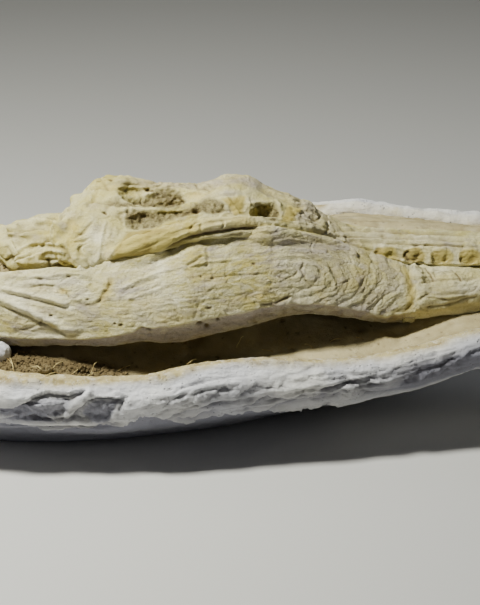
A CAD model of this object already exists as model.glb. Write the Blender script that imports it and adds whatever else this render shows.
# A dyrosaur skull and its lower jaw in a plaster field jacket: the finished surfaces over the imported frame
import math

import bmesh
import bpy
import numpy as np
from mathutils import Matrix, Vector
from mathutils.bvhtree import BVHTree


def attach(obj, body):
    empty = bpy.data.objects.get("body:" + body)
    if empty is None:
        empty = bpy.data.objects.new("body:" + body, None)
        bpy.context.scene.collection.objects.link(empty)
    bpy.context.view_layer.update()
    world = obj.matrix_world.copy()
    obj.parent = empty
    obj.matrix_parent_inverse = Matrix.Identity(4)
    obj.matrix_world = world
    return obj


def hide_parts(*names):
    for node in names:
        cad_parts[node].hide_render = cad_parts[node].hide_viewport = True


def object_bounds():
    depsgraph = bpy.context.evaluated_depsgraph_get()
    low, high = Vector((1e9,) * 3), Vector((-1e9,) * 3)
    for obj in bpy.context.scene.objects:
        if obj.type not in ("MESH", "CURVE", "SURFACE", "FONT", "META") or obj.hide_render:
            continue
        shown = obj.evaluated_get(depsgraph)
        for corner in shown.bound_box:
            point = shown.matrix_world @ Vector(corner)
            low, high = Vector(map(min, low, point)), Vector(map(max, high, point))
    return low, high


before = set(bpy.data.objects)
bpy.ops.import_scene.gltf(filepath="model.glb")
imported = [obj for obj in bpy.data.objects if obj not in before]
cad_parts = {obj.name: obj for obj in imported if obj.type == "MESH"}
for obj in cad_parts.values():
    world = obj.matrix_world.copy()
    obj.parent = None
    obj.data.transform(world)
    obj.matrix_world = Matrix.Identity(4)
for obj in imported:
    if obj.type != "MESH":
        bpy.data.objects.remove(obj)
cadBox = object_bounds()

# The camera comes first, because the carving below is drawn on its picture of 480 by 605 steps
cameraValues = {"target": (-0.109, 0.0, 0.125), "elevation": 24.0, "distance": 2.2, "lens": 113.8, "sensor": 36.0}
pictureSize = (480.0, 605.0)


def makeCamera():
    lift = math.radians(cameraValues["elevation"])
    target = Vector(cameraValues["target"])
    eye = target + cameraValues["distance"] * Vector((0.0, -math.cos(lift), math.sin(lift)))
    data = bpy.data.cameras.new("camera")
    data.lens = cameraValues["lens"]
    data.sensor_width = cameraValues["sensor"]
    camera = bpy.data.objects.new("camera", data)
    camera.location = eye
    camera.rotation_euler = (target - eye).to_track_quat("-Z", "Y").to_euler()
    bpy.context.scene.collection.objects.link(camera)
    bpy.context.scene.camera = camera
    return np.array(eye), np.array((target - eye).normalized())


eyePoint, eyeForward = makeCamera()
eyeRight = np.array((1.0, 0.0, 0.0))
eyeUp = np.cross(eyeRight, eyeForward)


def pictureOf(points):
    # Where points fall on the picture: steps to the right, steps down
    away = points - eyePoint
    depth = away @ eyeForward
    scale = cameraValues["lens"] / cameraValues["sensor"] * pictureSize[1]
    right = pictureSize[0] / 2 + scale * (away @ eyeRight) / depth
    down = pictureSize[1] / 2 - scale * (away @ eyeUp) / depth
    return np.stack((right, down), axis=1)


# Noise on numpy arrays, the same on every run
def mixedBits(x, y, z, seed):
    bits = x * np.uint32(374761393) + y * np.uint32(668265263) + z * np.uint32(2246822519)
    bits = bits + np.uint32(seed * 3266489917 % 4294967296)
    bits = (bits ^ (bits >> np.uint32(15))) * np.uint32(2246822519)
    bits = (bits ^ (bits >> np.uint32(13))) * np.uint32(3266489917)
    return bits ^ (bits >> np.uint32(16))


def softNoise(points, seed=0):
    base = np.floor(points)
    part = points - base
    ease = part ** 3 * (part * (part * 6 - 15) + 10)
    cell = base.astype(np.int64).astype(np.uint32)
    total = np.zeros(len(points))
    for corner in range(8):
        step = np.array((corner & 1, corner >> 1 & 1, corner >> 2 & 1))
        weight = np.prod(np.where(step == 1, ease, 1 - ease), axis=1)
        bits = mixedBits(*(cell[:, k] + np.uint32(step[k]) for k in range(3)), seed)
        slopes = [(bits >> np.uint32(10 * k) & np.uint32(1023)) / 511.5 - 1 for k in range(3)]
        total += weight * sum(slopes[k] * (part[:, k] - step[k]) for k in range(3))
    return total * 1.25


def layeredNoise(points, scale, layers=4, seed=0):
    total, share, height = 0.0, 1.0, 0.0
    for layer in range(layers):
        total = total + share * softNoise(points * scale * 2.03 ** layer, seed + layer)
        height += share
        share *= 0.5
    return total / height


def noiseShift(points, scale, seeds, layers=2):
    # One noise for each seed, side by side, to shift places with
    return np.stack([layeredNoise(points, scale, layers, seed) for seed in seeds], axis=1)


def ridgedNoise(points, scale, layers=3, seed=0):
    # Sharp crests at 1 with soft valleys between them
    total, share, height = 0.0, 1.0, 0.0
    for layer in range(layers):
        total = total + share * (1 - np.abs(softNoise(points * scale * 2.1 ** layer, seed + 7 * layer)) * 2)
        height += share
        share *= 0.5
    return total / height


def cellNoise(points, scale=1.0, seed=0):
    # For the nearest of a cloud of scattered points: how clear its cell's border is, its chance value and the lean
    spot = points * scale
    base = np.floor(spot)
    cell = base.astype(np.int64)
    first, second = np.full(len(points), 9.0), np.full(len(points), 9.0)
    value, lean = np.zeros(len(points)), np.zeros(len(points))
    for k in range(27):
        step = np.array((k % 3 - 1, k // 3 % 3 - 1, k // 9 - 1))
        corner = (cell + step).astype(np.uint32)
        bits = mixedBits(corner[:, 0], corner[:, 1], corner[:, 2], seed)
        jitter = np.stack([(bits >> np.uint32(10 * j) & np.uint32(1023)) / 1023.0 for j in range(3)], axis=1)
        away = spot - base - step - jitter
        gap = np.linalg.norm(away, axis=1)
        second = np.minimum(second, np.maximum(first, gap))
        nearer = gap < first
        value = np.where(nearer, (bits >> np.uint32(5) & np.uint32(255)) / 255.0, value)
        lean = np.where(nearer, away[:, 0], lean)
        first = np.minimum(first, gap)
    return second - first, value, lean


def eased(low, high, value):
    t = np.clip((value - low) / (high - low), 0.0, 1.0)
    return t * t * (3 - 2 * t)


# Drawing on the picture: strokes, spots and patches
def strokeField(spots, path, width):
    # 1 along a path, falling to 0 beside it
    path = np.array(path, dtype=float)
    near = np.all((spots > path.min(axis=0) - 4 * width) & (spots < path.max(axis=0) + 4 * width), axis=1)
    field = np.zeros(len(spots))
    chosen = spots[near]
    if not len(chosen):
        return field
    lengths = np.linalg.norm(np.diff(path, axis=0), axis=1)
    done = 0.0
    nearest = np.full(len(chosen), 1e9)
    along = np.zeros(len(chosen))
    for start, end, length in zip(path, path[1:], lengths):
        share = np.clip((chosen - start) @ (end - start) / length ** 2, 0, 1)
        gap = np.linalg.norm(chosen - start - share[:, None] * (end - start), axis=1)
        along = np.where(gap < nearest, (done + share * length) / lengths.sum(), along)
        nearest = np.minimum(nearest, gap)
        done += length
    taper = np.clip(np.minimum(along, 1 - along) / 0.12, 0, 1) ** 0.6
    field[near] = np.exp(-(nearest / width) ** 2) * taper
    return field


def bundle(path, count, spread, width, depth, dirt=0.0, seed=1):
    # Broken lines side by side along a path: grooves and crests in turn, each at its own distance and length
    chance = np.random.default_rng(seed)
    path = np.array(path, dtype=float)
    places = np.linspace(0, 1, 12)
    along = np.linspace(0, 1, len(path))
    line = np.stack([np.interp(places, along, path[:, k]) for k in (0, 1)], axis=1)
    lean = np.gradient(line, axis=0)
    across = np.stack((-lean[:, 1], lean[:, 0]), axis=1) / np.linalg.norm(lean, axis=1)[:, None]
    strokes = []
    for k in range(count):
        offset = (k + 0.5) / count - 0.5 + chance.uniform(-0.3, 0.3) / count
        first = chance.integers(0, 5)
        last = chance.integers(8, 13)
        bow = chance.uniform(-0.6, 0.6) * np.sin(places * math.pi)[:, None] * across * width
        moved = (line + across * offset * spread + bow)[first:last]
        strength = chance.uniform(0.5, 1.2) * (-0.8 if k % 3 == 1 else 1.0)
        strokes.append((moved, width * chance.uniform(0.7, 1.3), depth * strength, dirt if strength > 0 else 0.0))
    return strokes


def ledgeField(spots, path, reach):
    # 1 just under an edge that runs from left to right, fading out further down
    path = np.array(path, dtype=float)
    under = spots[:, 1] - lineAt(path, spots[:, 0])
    ends = eased(path[0, 0] - 3, path[0, 0] + 4, spots[:, 0]) * eased(path[-1, 0] + 3, path[-1, 0] - 6, spots[:, 0])
    return eased(-0.7, 0.7, under) * np.exp(-np.maximum(under, 0) / reach) * ends


def lineAt(line, right):
    # How far down a drawn line runs, at places to the right
    return np.interp(right, *np.array(line, dtype=float).T)


def spotField(spots, centre, radii, turn=0.0):
    angle = math.radians(turn)
    away = spots - np.array(centre, dtype=float)
    right = (away[:, 0] * math.cos(angle) + away[:, 1] * math.sin(angle)) / radii[0]
    down = (away[:, 1] * math.cos(angle) - away[:, 0] * math.sin(angle)) / radii[1]
    return np.exp(-(right ** 2 + down ** 2) ** 1.3)


def patchField(spots, outline, soft=2.0):
    # 1 inside a closed outline, easing to 0 across its edge
    outline = np.array(outline, dtype=float)
    inside = np.zeros(len(spots), dtype=bool)
    nearest = np.full(len(spots), 1e9)
    for start, end in zip(outline, np.roll(outline, -1, axis=0)):
        share = np.clip((spots - start) @ (end - start) / ((end - start) @ (end - start)), 0, 1)
        nearest = np.minimum(nearest, np.linalg.norm(spots - start - share[:, None] * (end - start), axis=1))
        crosses = (start[1] > spots[:, 1]) != (end[1] > spots[:, 1])
        drop = end[1] - start[1] if abs(end[1] - start[1]) > 1e-9 else 1e-9
        inside ^= crosses & (spots[:, 0] < (end[0] - start[0]) * (spots[:, 1] - start[1]) / drop + start[0])
    return eased(-soft, soft, np.where(inside, nearest, -nearest))


solidTrees = [
    BVHTree.FromPolygons([v.co for v in body.data.vertices], [p.vertices for p in body.data.polygons])
    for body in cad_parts.values()
]


def seenAt(right, down):
    # The place on the solids that the picture shows at a spot, and the way that the eye looks there
    scale = cameraValues["lens"] / cameraValues["sensor"] * pictureSize[1]
    look = eyeForward + eyeRight * (right - pictureSize[0] / 2) / scale + eyeUp * (pictureSize[1] / 2 - down) / scale
    look = Vector(look).normalized()
    hits = [tree.ray_cast(Vector(eyePoint), look) for tree in solidTrees]
    place, _, _, _ = min((hit for hit in hits if hit[0]), key=lambda hit: hit[3])
    return place, look


def ribbon(path, offset, radii, depth, count):
    # Flat lumps along a smooth line that is fitted between what shows on the two sides of a drawn path
    path = np.array(path, dtype=float)
    share = np.linspace(0, 1, len(path))
    aside, down = offset
    places = [(seenAt(x - aside, y - down)[0] + seenAt(x + aside, y + down)[0]) / 2 for x, y in path]
    curves = [np.polyfit(share, [place[k] for place in places], 3) for k in range(3)]
    look = seenAt(*path[len(path) // 2])[1]
    plugs = []
    for t in np.linspace(0, 1, count):
        taper = 0.6 + 0.4 * min(1.0, 5 * t, 5 * (1 - t))
        centre = Vector([np.polyval(curve, t) for curve in curves]) + look * depth
        along = Vector([np.polyval(np.polyder(curve), t) for curve in curves]).normalized()
        inward = (look - along * look.dot(along)).normalized()
        turn = Matrix((along, inward, along.cross(inward))).transposed().to_4x4()
        plugs.append(Matrix.Translation(centre) @ turn @ Matrix.Diagonal((*radii, 1.0)) @ Matrix.Scale(taper, 4))
    return plugs


def ellipsoid(place, radii):
    return Matrix.Translation(place) @ Matrix.Diagonal((*radii, 1.0))


# A fine skin over the solids of one or more nodes
def joinedCopy(name, nodes, grow, lumps, clip, plugs):
    # lumps close up the joints: spot on the picture, three radii, turn and depth under the surface. plugs do
    # too, and are the matrices of balls. clip keeps only what lies between two places along an axis
    joined = bmesh.new()
    for node in nodes:
        part = bmesh.new()
        part.from_mesh(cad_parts[node].data)
        bmesh.ops.remove_doubles(part, verts=part.verts, dist=1e-6)
        part.normal_update()
        for vertex in part.verts:
            vertex.co += vertex.normal * grow
        mesh = bpy.data.meshes.new("part")
        part.to_mesh(mesh)
        part.free()
        joined.from_mesh(mesh)
        bpy.data.meshes.remove(mesh)
    for (right, down), radii, turn, depth in lumps:
        place, look = seenAt(right, down)
        shape = Matrix.Translation(place + look * depth) @ Matrix.Rotation(math.radians(turn), 4, "Y")
        shape = shape @ Matrix.Diagonal((*radii, 1.0))
        bmesh.ops.create_icosphere(joined, subdivisions=3, radius=1.0, matrix=shape)
    for shape in plugs:
        bmesh.ops.create_icosphere(joined, subdivisions=2, radius=1.0, matrix=shape)
    for end, side in zip(clip[1:] if clip else (), (-1, 1)):
        axis = np.eye(3)["XYZ".index(clip[0])]
        cut = bmesh.ops.bisect_plane(joined, geom=[*joined.verts, *joined.edges, *joined.faces], plane_co=axis * end,
                                     plane_no=axis * side, clear_outer=True)
        rim = [item for item in cut["geom_cut"] if isinstance(item, bmesh.types.BMEdge)]
        bmesh.ops.holes_fill(joined, edges=rim)
    mesh = bpy.data.meshes.new(name)
    joined.to_mesh(mesh)
    joined.free()
    return mesh


def applied(piece):
    # The piece's mesh with its modifiers worked in
    graph = bpy.context.evaluated_depsgraph_get()
    mesh = bpy.data.meshes.new_from_object(piece.evaluated_get(graph), depsgraph=graph)
    piece.modifiers.clear()
    old = piece.data
    piece.data = mesh
    bpy.data.meshes.remove(old)
    return mesh


def vertexArrays(mesh):
    points = np.empty(len(mesh.vertices) * 3)
    normals = np.empty(len(mesh.vertices) * 3)
    mesh.vertices.foreach_get("co", points)
    mesh.vertices.foreach_get("normal", normals)
    return points.reshape(-1, 3), normals.reshape(-1, 3)


def keepLargest(mesh):
    # Drops the tiny closed bubbles that a voxel skin can leave inside
    edges = edgeArray(mesh)
    label = np.arange(len(mesh.vertices))
    while True:
        lowest = np.minimum(label[edges[:, 0]], label[edges[:, 1]])
        fresh = label.copy()
        np.minimum.at(fresh, edges[:, 0], lowest)
        np.minimum.at(fresh, edges[:, 1], lowest)
        fresh = fresh[fresh]
        if (fresh == label).all():
            break
        label = fresh
    counts = np.bincount(label)
    stray = np.nonzero(label != counts.argmax())[0]
    if len(stray):
        body = bmesh.new()
        body.from_mesh(mesh)
        body.verts.ensure_lookup_table()
        bmesh.ops.delete(body, geom=[body.verts[i] for i in stray], context="VERTS")
        body.to_mesh(mesh)
        body.free()


def edgeArray(mesh):
    edges = np.empty(len(mesh.edges) * 2, dtype=np.int64)
    mesh.edges.foreach_get("vertices", edges)
    return edges.reshape(-1, 2)


def fineSkin(name, nodes, values, hidden=None, lumps=(), plugs=()):
    # hidden says which vertices nobody sees, and only a share of those is kept
    mesh = joinedCopy(name, nodes, values.get("grow", 0.0003), lumps, values.get("clip"), plugs)
    piece = bpy.data.objects.new(name, mesh)
    bpy.context.scene.collection.objects.link(piece)
    remesh = piece.modifiers.new("fine", "REMESH")
    remesh.mode = "VOXEL"
    remesh.voxel_size = values["voxel"] * 1.0
    smooth = piece.modifiers.new("round", "SMOOTH")
    smooth.iterations = values["rounds"]
    mesh = applied(piece)
    keepLargest(mesh)
    if hidden:
        unseen = hidden(*vertexArrays(mesh))
        group = piece.vertex_groups.new(name="unseen")
        group.add(np.nonzero(unseen)[0].tolist(), 1.0, "REPLACE")
        thin = piece.modifiers.new("thin", "DECIMATE")
        thin.vertex_group = "unseen"
        thin.ratio = 1.0 - (1.0 - values["unseenShare"]) * unseen.mean()
        mesh = applied(piece)
        piece.vertex_groups.clear()
    mesh.polygons.foreach_set("use_smooth", [True] * len(mesh.polygons))
    return piece


def neighbourMean(values, edges):
    count = np.bincount(edges.ravel(), minlength=len(values))
    total = np.empty_like(values)
    for k in range(values.shape[1]):
        total[:, k] = np.bincount(edges[:, 0], weights=values[edges[:, 1], k], minlength=len(values))
        total[:, k] += np.bincount(edges[:, 1], weights=values[edges[:, 0], k], minlength=len(values))
    return total / np.maximum(count, 1)[:, None]


class Sculpture:
    # One piece while it is carved: its points, where they fall on the picture, and its painted masks
    def __init__(self, piece):
        self.piece = piece
        self.points, self.normals = vertexArrays(piece.data)
        self.start = self.points.copy()
        self.picture = pictureOf(self.points)
        toEye = eyePoint - self.points
        toEye /= np.linalg.norm(toEye, axis=1)[:, None]
        self.facing = eased(0.0, 0.25, np.sum(toEye * self.normals, axis=1))
        self.masks = {key: np.zeros(len(self.points)) for key in maskNames}

    def noise(self, scale, layers, seed):
        return layeredNoise(self.start, scale, layers, seed)

    def push(self, distance):
        self.points = self.points + self.normals * np.asarray(distance)[:, None]

    def wobbled(self, amount, size, seed=3):
        # Picture places shaken a little, so that drawn lines look broken rather than ruled
        return self.picture + amount * noiseShift(self.start, 1.0 / size, (seed, seed + 20), 3)

    def paint(self, key, field, strength=1.0):
        self.masks[key] = np.clip(self.masks[key] + strength * field, 0, 1)

    def hollows(self, rounds=3, gain=900.0):
        # How far each point lies under the mean of its neighbours: positive in hollows, negative on crests
        edges = edgeArray(self.piece.data)
        mean = self.points
        for _ in range(rounds):
            mean = neighbourMean(mean, edges)
        return np.sum((mean - self.points) * self.normals, axis=1) * gain

    def roundEnd(self, end, reach, share):
        # Draws the last stretch before an end along X towards its middle, so that it isn't cut off square
        nearness = eased(end + (reach if end < 0 else -reach), end, self.start[:, 0])
        last = nearness > 0.4
        middle = (self.start[last].min(axis=0) + self.start[last].max(axis=0)) / 2
        inward = (middle - self.points) * np.array((0.0, 1.0, 1.0))
        self.points = self.points + inward * (share * nearness ** 3)[:, None]

    def finish(self):
        # Nothing swells past the solids' own box
        lowest, highest = np.array(cadBox[0]), np.array(cadBox[1])
        soft = 0.004
        over = np.maximum(self.points - highest + soft, 0.0)
        self.points = np.where(over > 0, highest - soft + soft * np.tanh(over / soft), self.points)
        under = np.maximum(lowest + soft - self.points, 0.0) * np.array((1.0, 1.0, 0.0))
        self.points = np.where(under > 0, lowest + soft - soft * np.tanh(under / soft), self.points)
        self.points[:, 2] = np.maximum(self.points[:, 2], lowest[2])
        mesh = self.piece.data
        mesh.vertices.foreach_set("co", self.points.ravel())
        mesh.update()
        for layer, keys in maskLayers.items():
            colours = np.ones((len(self.points), 4))
            for k, key in enumerate(keys):
                colours[:, k] = self.masks[key]
            attribute = mesh.color_attributes.new(layer, "FLOAT_COLOR", "POINT")
            attribute.data.foreach_set("color", colours.ravel())


maskLayers = {"tint": ("ochre", "mauve", "pale"), "ground": ("fill", "gritty", "dirt")}
maskNames = [key for keys in maskLayers.values() for key in keys]


# Shader groups that several finishes share
def newGroup(name, inputs, outputs):
    tree = bpy.data.node_groups.new(name, "ShaderNodeTree")
    for socketName, kind, value in inputs:
        socket = tree.interface.new_socket(name=socketName, in_out="INPUT", socket_type=kind)
        if value is not None:
            socket.default_value = value
    for socketName, kind in outputs:
        tree.interface.new_socket(name=socketName, in_out="OUTPUT", socket_type=kind)
    return tree, tree.nodes.new("NodeGroupInput"), tree.nodes.new("NodeGroupOutput")


def addNode(tree, kind, links=None, **values):
    # links gives {input name or number: output socket or value}
    node = tree.nodes.new(kind)
    for key, value in values.items():
        setattr(node, key, value)
    for key, value in (links or {}).items():
        if isinstance(value, bpy.types.NodeSocket):
            tree.links.new(value, node.inputs[key])
        else:
            node.inputs[key].default_value = value
    return node


def mixColours(tree, share, first, second):
    return addNode(tree, "ShaderNodeMix", {0: share, 6: first, 7: second}, data_type="RGBA").outputs[2]


def coated(tree, base, coats):
    # Coats laid over a base colour, each with its share and its colour
    for share, coat in coats:
        base = mixColours(tree, share, base, coat)
    return base


def mathNode(tree, operation, *values):
    return addNode(tree, "ShaderNodeMath", dict(enumerate(values)), operation=operation).outputs[0]


def rangeNode(tree, value, low, high, toLow=0.0, toHigh=1.0):
    links = {"Value": value, "From Min": low, "From Max": high, "To Min": toLow, "To Max": toHigh}
    return addNode(tree, "ShaderNodeMapRange", links, interpolation_type="SMOOTHSTEP").outputs[0]


def colour(red, green, blue):
    # A colour as seen on screen, turned to the linear values that the shaders want
    linear = [c / 255 / 12.92 if c <= 10 else ((c / 255 + 0.055) / 1.055) ** 2.4 for c in (red, green, blue)]
    return (*linear, 1.0)


def swayNode(tree, place, scale, amount):
    # A shift that wavers from place to place
    waver = addNode(tree, "ShaderNodeTexNoise", {"Vector": place, "Scale": scale, "Detail": 2.0})
    centred = addNode(tree, "ShaderNodeVectorMath", {0: waver.outputs[1], 1: (0.5, 0.5, 0.5)}, operation="SUBTRACT")
    return addNode(tree, "ShaderNodeVectorMath", {0: centred.outputs[0], "Scale": amount}, operation="SCALE").outputs[0]


def makeMottle():
    # Three colours in cloudy patches of two sizes
    tree, start, end = newGroup(
        "mottle",
        [("Vector", "NodeSocketVector", None), ("Scale", "NodeSocketFloat", 14.0),
         ("First", "NodeSocketColor", (0.6, 0.6, 0.6, 1)), ("Second", "NodeSocketColor", (0.5, 0.5, 0.5, 1)),
         ("Third", "NodeSocketColor", (0.4, 0.4, 0.4, 1)), ("Third Share", "NodeSocketFloat", 0.5)],
        [("Color", "NodeSocketColor"), ("Mask", "NodeSocketFloat")],
    )
    broad = addNode(tree, "ShaderNodeTexNoise", {"Vector": start.outputs[0], "Scale": start.outputs[1], "Detail": 6.0})
    close = addNode(tree, "ShaderNodeTexNoise", {
        "Vector": start.outputs[0], "Scale": mathNode(tree, "MULTIPLY", start.outputs[1], 3.7), "Detail": 8.0,
        "Roughness": 0.65})
    patches = rangeNode(tree, broad.outputs[0], 0.38, 0.64)
    flecks = mathNode(tree, "MULTIPLY", rangeNode(tree, close.outputs[0], 0.50, 0.72), start.outputs[5])
    base = mixColours(tree, patches, start.outputs[2], start.outputs[3])
    tree.links.new(mixColours(tree, flecks, base, start.outputs[4]), end.inputs[0])
    tree.links.new(patches, end.inputs[1])
    return tree


def makeGrain():
    # Long fine lines that follow X, as in bone fibres and dragged plaster
    tree, start, end = newGroup(
        "grain",
        [("Vector", "NodeSocketVector", None), ("Along", "NodeSocketFloat", 30.0),
         ("Across", "NodeSocketFloat", 420.0), ("Waver", "NodeSocketFloat", 0.01)],
        [("Height", "NodeSocketFloat"), ("Lines", "NodeSocketFloat")],
    )
    sway = swayNode(tree, start.outputs[0], 16.0, start.outputs[3])
    place = addNode(tree, "ShaderNodeVectorMath", {0: start.outputs[0], 1: sway}, operation="ADD")
    stretch = addNode(tree, "ShaderNodeCombineXYZ", {0: start.outputs[1], 1: start.outputs[2], 2: start.outputs[2]})
    long = addNode(tree, "ShaderNodeVectorMath", {0: place.outputs[0], 1: stretch.outputs[0]}, operation="MULTIPLY")
    fibres = addNode(tree, "ShaderNodeTexNoise", {"Vector": long.outputs[0], "Scale": 1.0, "Detail": 4.0})
    tree.links.new(fibres.outputs[0], end.inputs[0])
    tree.links.new(rangeNode(tree, fibres.outputs[0], 0.56, 0.74), end.inputs[1])
    return tree


def makePores():
    # Small pits and specks of two sizes
    tree, start, end = newGroup(
        "pores",
        [("Vector", "NodeSocketVector", None), ("Scale", "NodeSocketFloat", 500.0)],
        [("Height", "NodeSocketFloat"), ("Pits", "NodeSocketFloat")],
    )
    fine = addNode(tree, "ShaderNodeTexNoise", {"Vector": start.outputs[0], "Scale": start.outputs[1], "Detail": 5.0})
    cells = addNode(tree, "ShaderNodeTexVoronoi", {
        "Vector": start.outputs[0], "Scale": mathNode(tree, "MULTIPLY", start.outputs[1], 0.55)})
    holes = rangeNode(tree, cells.outputs[0], 0.10, 0.26, 1.0, 0.0)
    some = addNode(tree, "ShaderNodeTexNoise", {
        "Vector": start.outputs[0], "Scale": mathNode(tree, "MULTIPLY", start.outputs[1], 0.06), "Detail": 3.0})
    pits = mathNode(tree, "MULTIPLY", holes, rangeNode(tree, some.outputs[0], 0.50, 0.62))
    tree.links.new(mathNode(tree, "SUBTRACT", fine.outputs[0], pits), end.inputs[0])
    tree.links.new(pits, end.inputs[1])
    return tree


mottleGroup, grainGroup, poreGroup = makeMottle(), makeGrain(), makePores()


def groupNode(tree, group, links):
    return addNode(tree, "ShaderNodeGroup", links, node_tree=group)


def mottled(tree, place, values, names, scale, share):
    # Cloudy patches of three of a finish's colours
    first, second, third = (values[name] for name in names)
    return groupNode(tree, mottleGroup, {
        "Vector": place, "Scale": scale, "First": first, "Second": second, "Third": third, "Third Share": share})


def heightSum(tree, *parts):
    # Several heights added up, each with its own share
    total = mathNode(tree, "MULTIPLY", *parts[0])
    for part in parts[1:]:
        total = mathNode(tree, "ADD", total, mathNode(tree, "MULTIPLY", *part))
    return total


def masksOf(tree):
    # The painted masks as sockets, by name
    found = {}
    for layer, keys in maskLayers.items():
        read = addNode(tree, "ShaderNodeAttribute", attribute_name=layer)
        parts = addNode(tree, "ShaderNodeSeparateColor", {0: read.outputs["Color"]})
        found.update({key: parts.outputs[k] for k, key in enumerate(keys)})
    return found


def newFinish(name, specular=0.3):
    finish = bpy.data.materials.new(name)
    finish.use_nodes = True
    tree = finish.node_tree
    shader = tree.nodes["Principled BSDF"]
    shader.inputs["Specular IOR Level"].default_value = specular
    place = addNode(tree, "ShaderNodeTexCoord").outputs["Object"]
    return finish, tree, shader, place


def bumpInto(tree, shader, height, strength, distance):
    bump = addNode(tree, "ShaderNodeBump", {"Height": height, "Strength": strength, "Distance": distance})
    tree.links.new(bump.outputs[0], shader.inputs["Normal"])


def boneFinish(name, values):
    finish, tree, shader, place = newFinish(name)
    masks = masksOf(tree)
    body = mottled(tree, place, values, ("ivory", "straw", "grey"), values["patchScale"], values["greyShare"])
    grain = groupNode(tree, grainGroup, {
        "Vector": place, "Along": values["along"], "Across": values["across"], "Waver": values["waver"]})
    pores = groupNode(tree, poreGroup, {"Vector": place, "Scale": values["poreScale"]})
    fill = mottled(tree, place, values, ("fill", "fillDark", "ochre"), 60.0, 0.25)
    grit = mottled(tree, place, values, ("grit", "gritDark", "gritPale"), 160.0, 0.8)
    speckle = addNode(tree, "ShaderNodeTexNoise", {"Vector": place, "Scale": 430.0, "Detail": 4.0, "Roughness": 0.7})
    mixed = coated(tree, body.outputs[0], [
        (mathNode(tree, "MULTIPLY", grain.outputs[1], values["lineShare"]), values["line"]),
        (masks["pale"], values["white"]), (masks["mauve"], values["mauve"]), (masks["ochre"], values["ochre"]),
        (mathNode(tree, "MULTIPLY", rangeNode(tree, speckle.outputs[0], 0.52, 0.72), 0.5), values["speck"]),
        (mathNode(tree, "MULTIPLY", rangeNode(tree, speckle.outputs[0], 0.44, 0.28), 0.4), values["white"]),
        (mathNode(tree, "MULTIPLY", pores.outputs[1], 0.35), values["dirt"]),
        (masks["fill"], fill.outputs[0]), (masks["gritty"], grit.outputs[0]), (masks["dirt"], values["dirt"])])
    tree.links.new(mixed, shader.inputs["Base Color"])
    rough = rangeNode(tree, body.outputs[1], 0.0, 1.0, values["smoothest"], values["roughest"])
    tree.links.new(rough, shader.inputs["Roughness"])
    height = heightSum(tree, (grain.outputs[0], values["lineHeight"]), (pores.outputs[0], 0.6),
                       (speckle.outputs[0], 1.2))
    bumpInto(tree, shader, height, 0.8, values["bump"])
    return finish


def plasterFinish(name, values):
    finish, tree, shader, place = newFinish(name, 0.25)
    masks = masksOf(tree)
    body = mottled(tree, place, values, ("white", "cool", "shade"), values["patchScale"], 0.35)
    drag = groupNode(tree, grainGroup, {"Vector": place, "Along": 35.0, "Across": 240.0, "Waver": 0.02})
    pores = groupNode(tree, poreGroup, {"Vector": place, "Scale": 380.0})
    dust = mottled(tree, place, values, ("dust", "dustDark", "white"), 80.0, 0.5)
    mixed = coated(tree, body.outputs[0], [
        (masks["mauve"], values["shade"]), (masks["ochre"], dust.outputs[0]),
        (mathNode(tree, "MULTIPLY", pores.outputs[1], 0.5), values["dirt"]), (masks["dirt"], values["dirt"])])
    tree.links.new(mixed, shader.inputs["Base Color"])
    shader.inputs["Roughness"].default_value = values["rough"]
    cloth = addNode(tree, "ShaderNodeTexWave", {"Vector": place, "Scale": 260.0, "Distortion": 3.0, "Detail": 2.0})
    height = heightSum(tree, (drag.outputs[0], 1.0), (pores.outputs[0], 0.8), (cloth.outputs[1], 0.15))
    bumpInto(tree, shader, height, 0.7, values["bump"])
    return finish


def sedimentFinish(name, values):
    finish, tree, shader, place = newFinish(name, 0.2)
    masks = masksOf(tree)
    body = mottled(tree, place, values, ("sand", "tan", "pale"), values["patchScale"], 0.35)
    grains = mottled(tree, place, values, ("tan", "brown", "pale"), 260.0, 0.9)
    pores = groupNode(tree, poreGroup, {"Vector": place, "Scale": 650.0})
    mixed = coated(tree, body.outputs[0], [
        (masks["gritty"], grains.outputs[0]), (masks["pale"], values["pale"]),
        (mathNode(tree, "MULTIPLY", pores.outputs[1], 0.5), values["brown"]), (masks["dirt"], values["brown"])])
    tree.links.new(mixed, shader.inputs["Base Color"])
    shader.inputs["Roughness"].default_value = values["rough"]
    bumpInto(tree, shader, pores.outputs[0], 0.9, values["bump"])
    return finish


boneValues = {
    "patchScale": 17.0, "ivory": colour(208, 200, 150), "straw": colour(186, 174, 98), "grey": colour(178, 171, 142),
    "greyShare": 0.55, "along": 34.0, "across": 520.0, "waver": 0.012, "poreScale": 620.0,
    "line": colour(160, 148, 102), "lineShare": 0.30, "white": colour(232, 226, 192), "mauve": colour(170, 160, 150),
    "ochre": colour(196, 172, 78), "fill": colour(188, 173, 98), "fillDark": colour(166, 149, 80),
    "speck": colour(126, 113, 68), "grit": colour(142, 132, 90), "gritDark": colour(100, 90, 58),
    "gritPale": colour(172, 163, 116), "dirt": colour(100, 84, 52), "smoothest": 0.62, "roughest": 0.82,
    "lineHeight": 0.8, "bump": 0.0010,
}
plasterValues = {
    "patchScale": 12.0, "white": colour(238, 236, 230), "cool": colour(216, 216, 220), "shade": colour(138, 138, 150),
    "dust": colour(190, 176, 128), "dustDark": colour(156, 140, 96), "dirt": colour(96, 94, 98), "rough": 0.86,
    "bump": 0.0020,
}
sedimentValues = {
    "patchScale": 22.0, "sand": colour(188, 175, 134), "tan": colour(166, 152, 112), "pale": colour(204, 195, 160),
    "brown": colour(100, 86, 58), "rough": 0.93, "bump": 0.0008,
}
bone = boneFinish("bone", boneValues)
plaster = plasterFinish("plaster", plasterValues)
sediment = sedimentFinish("sediment", sedimentValues)
print("finishes made")


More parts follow.
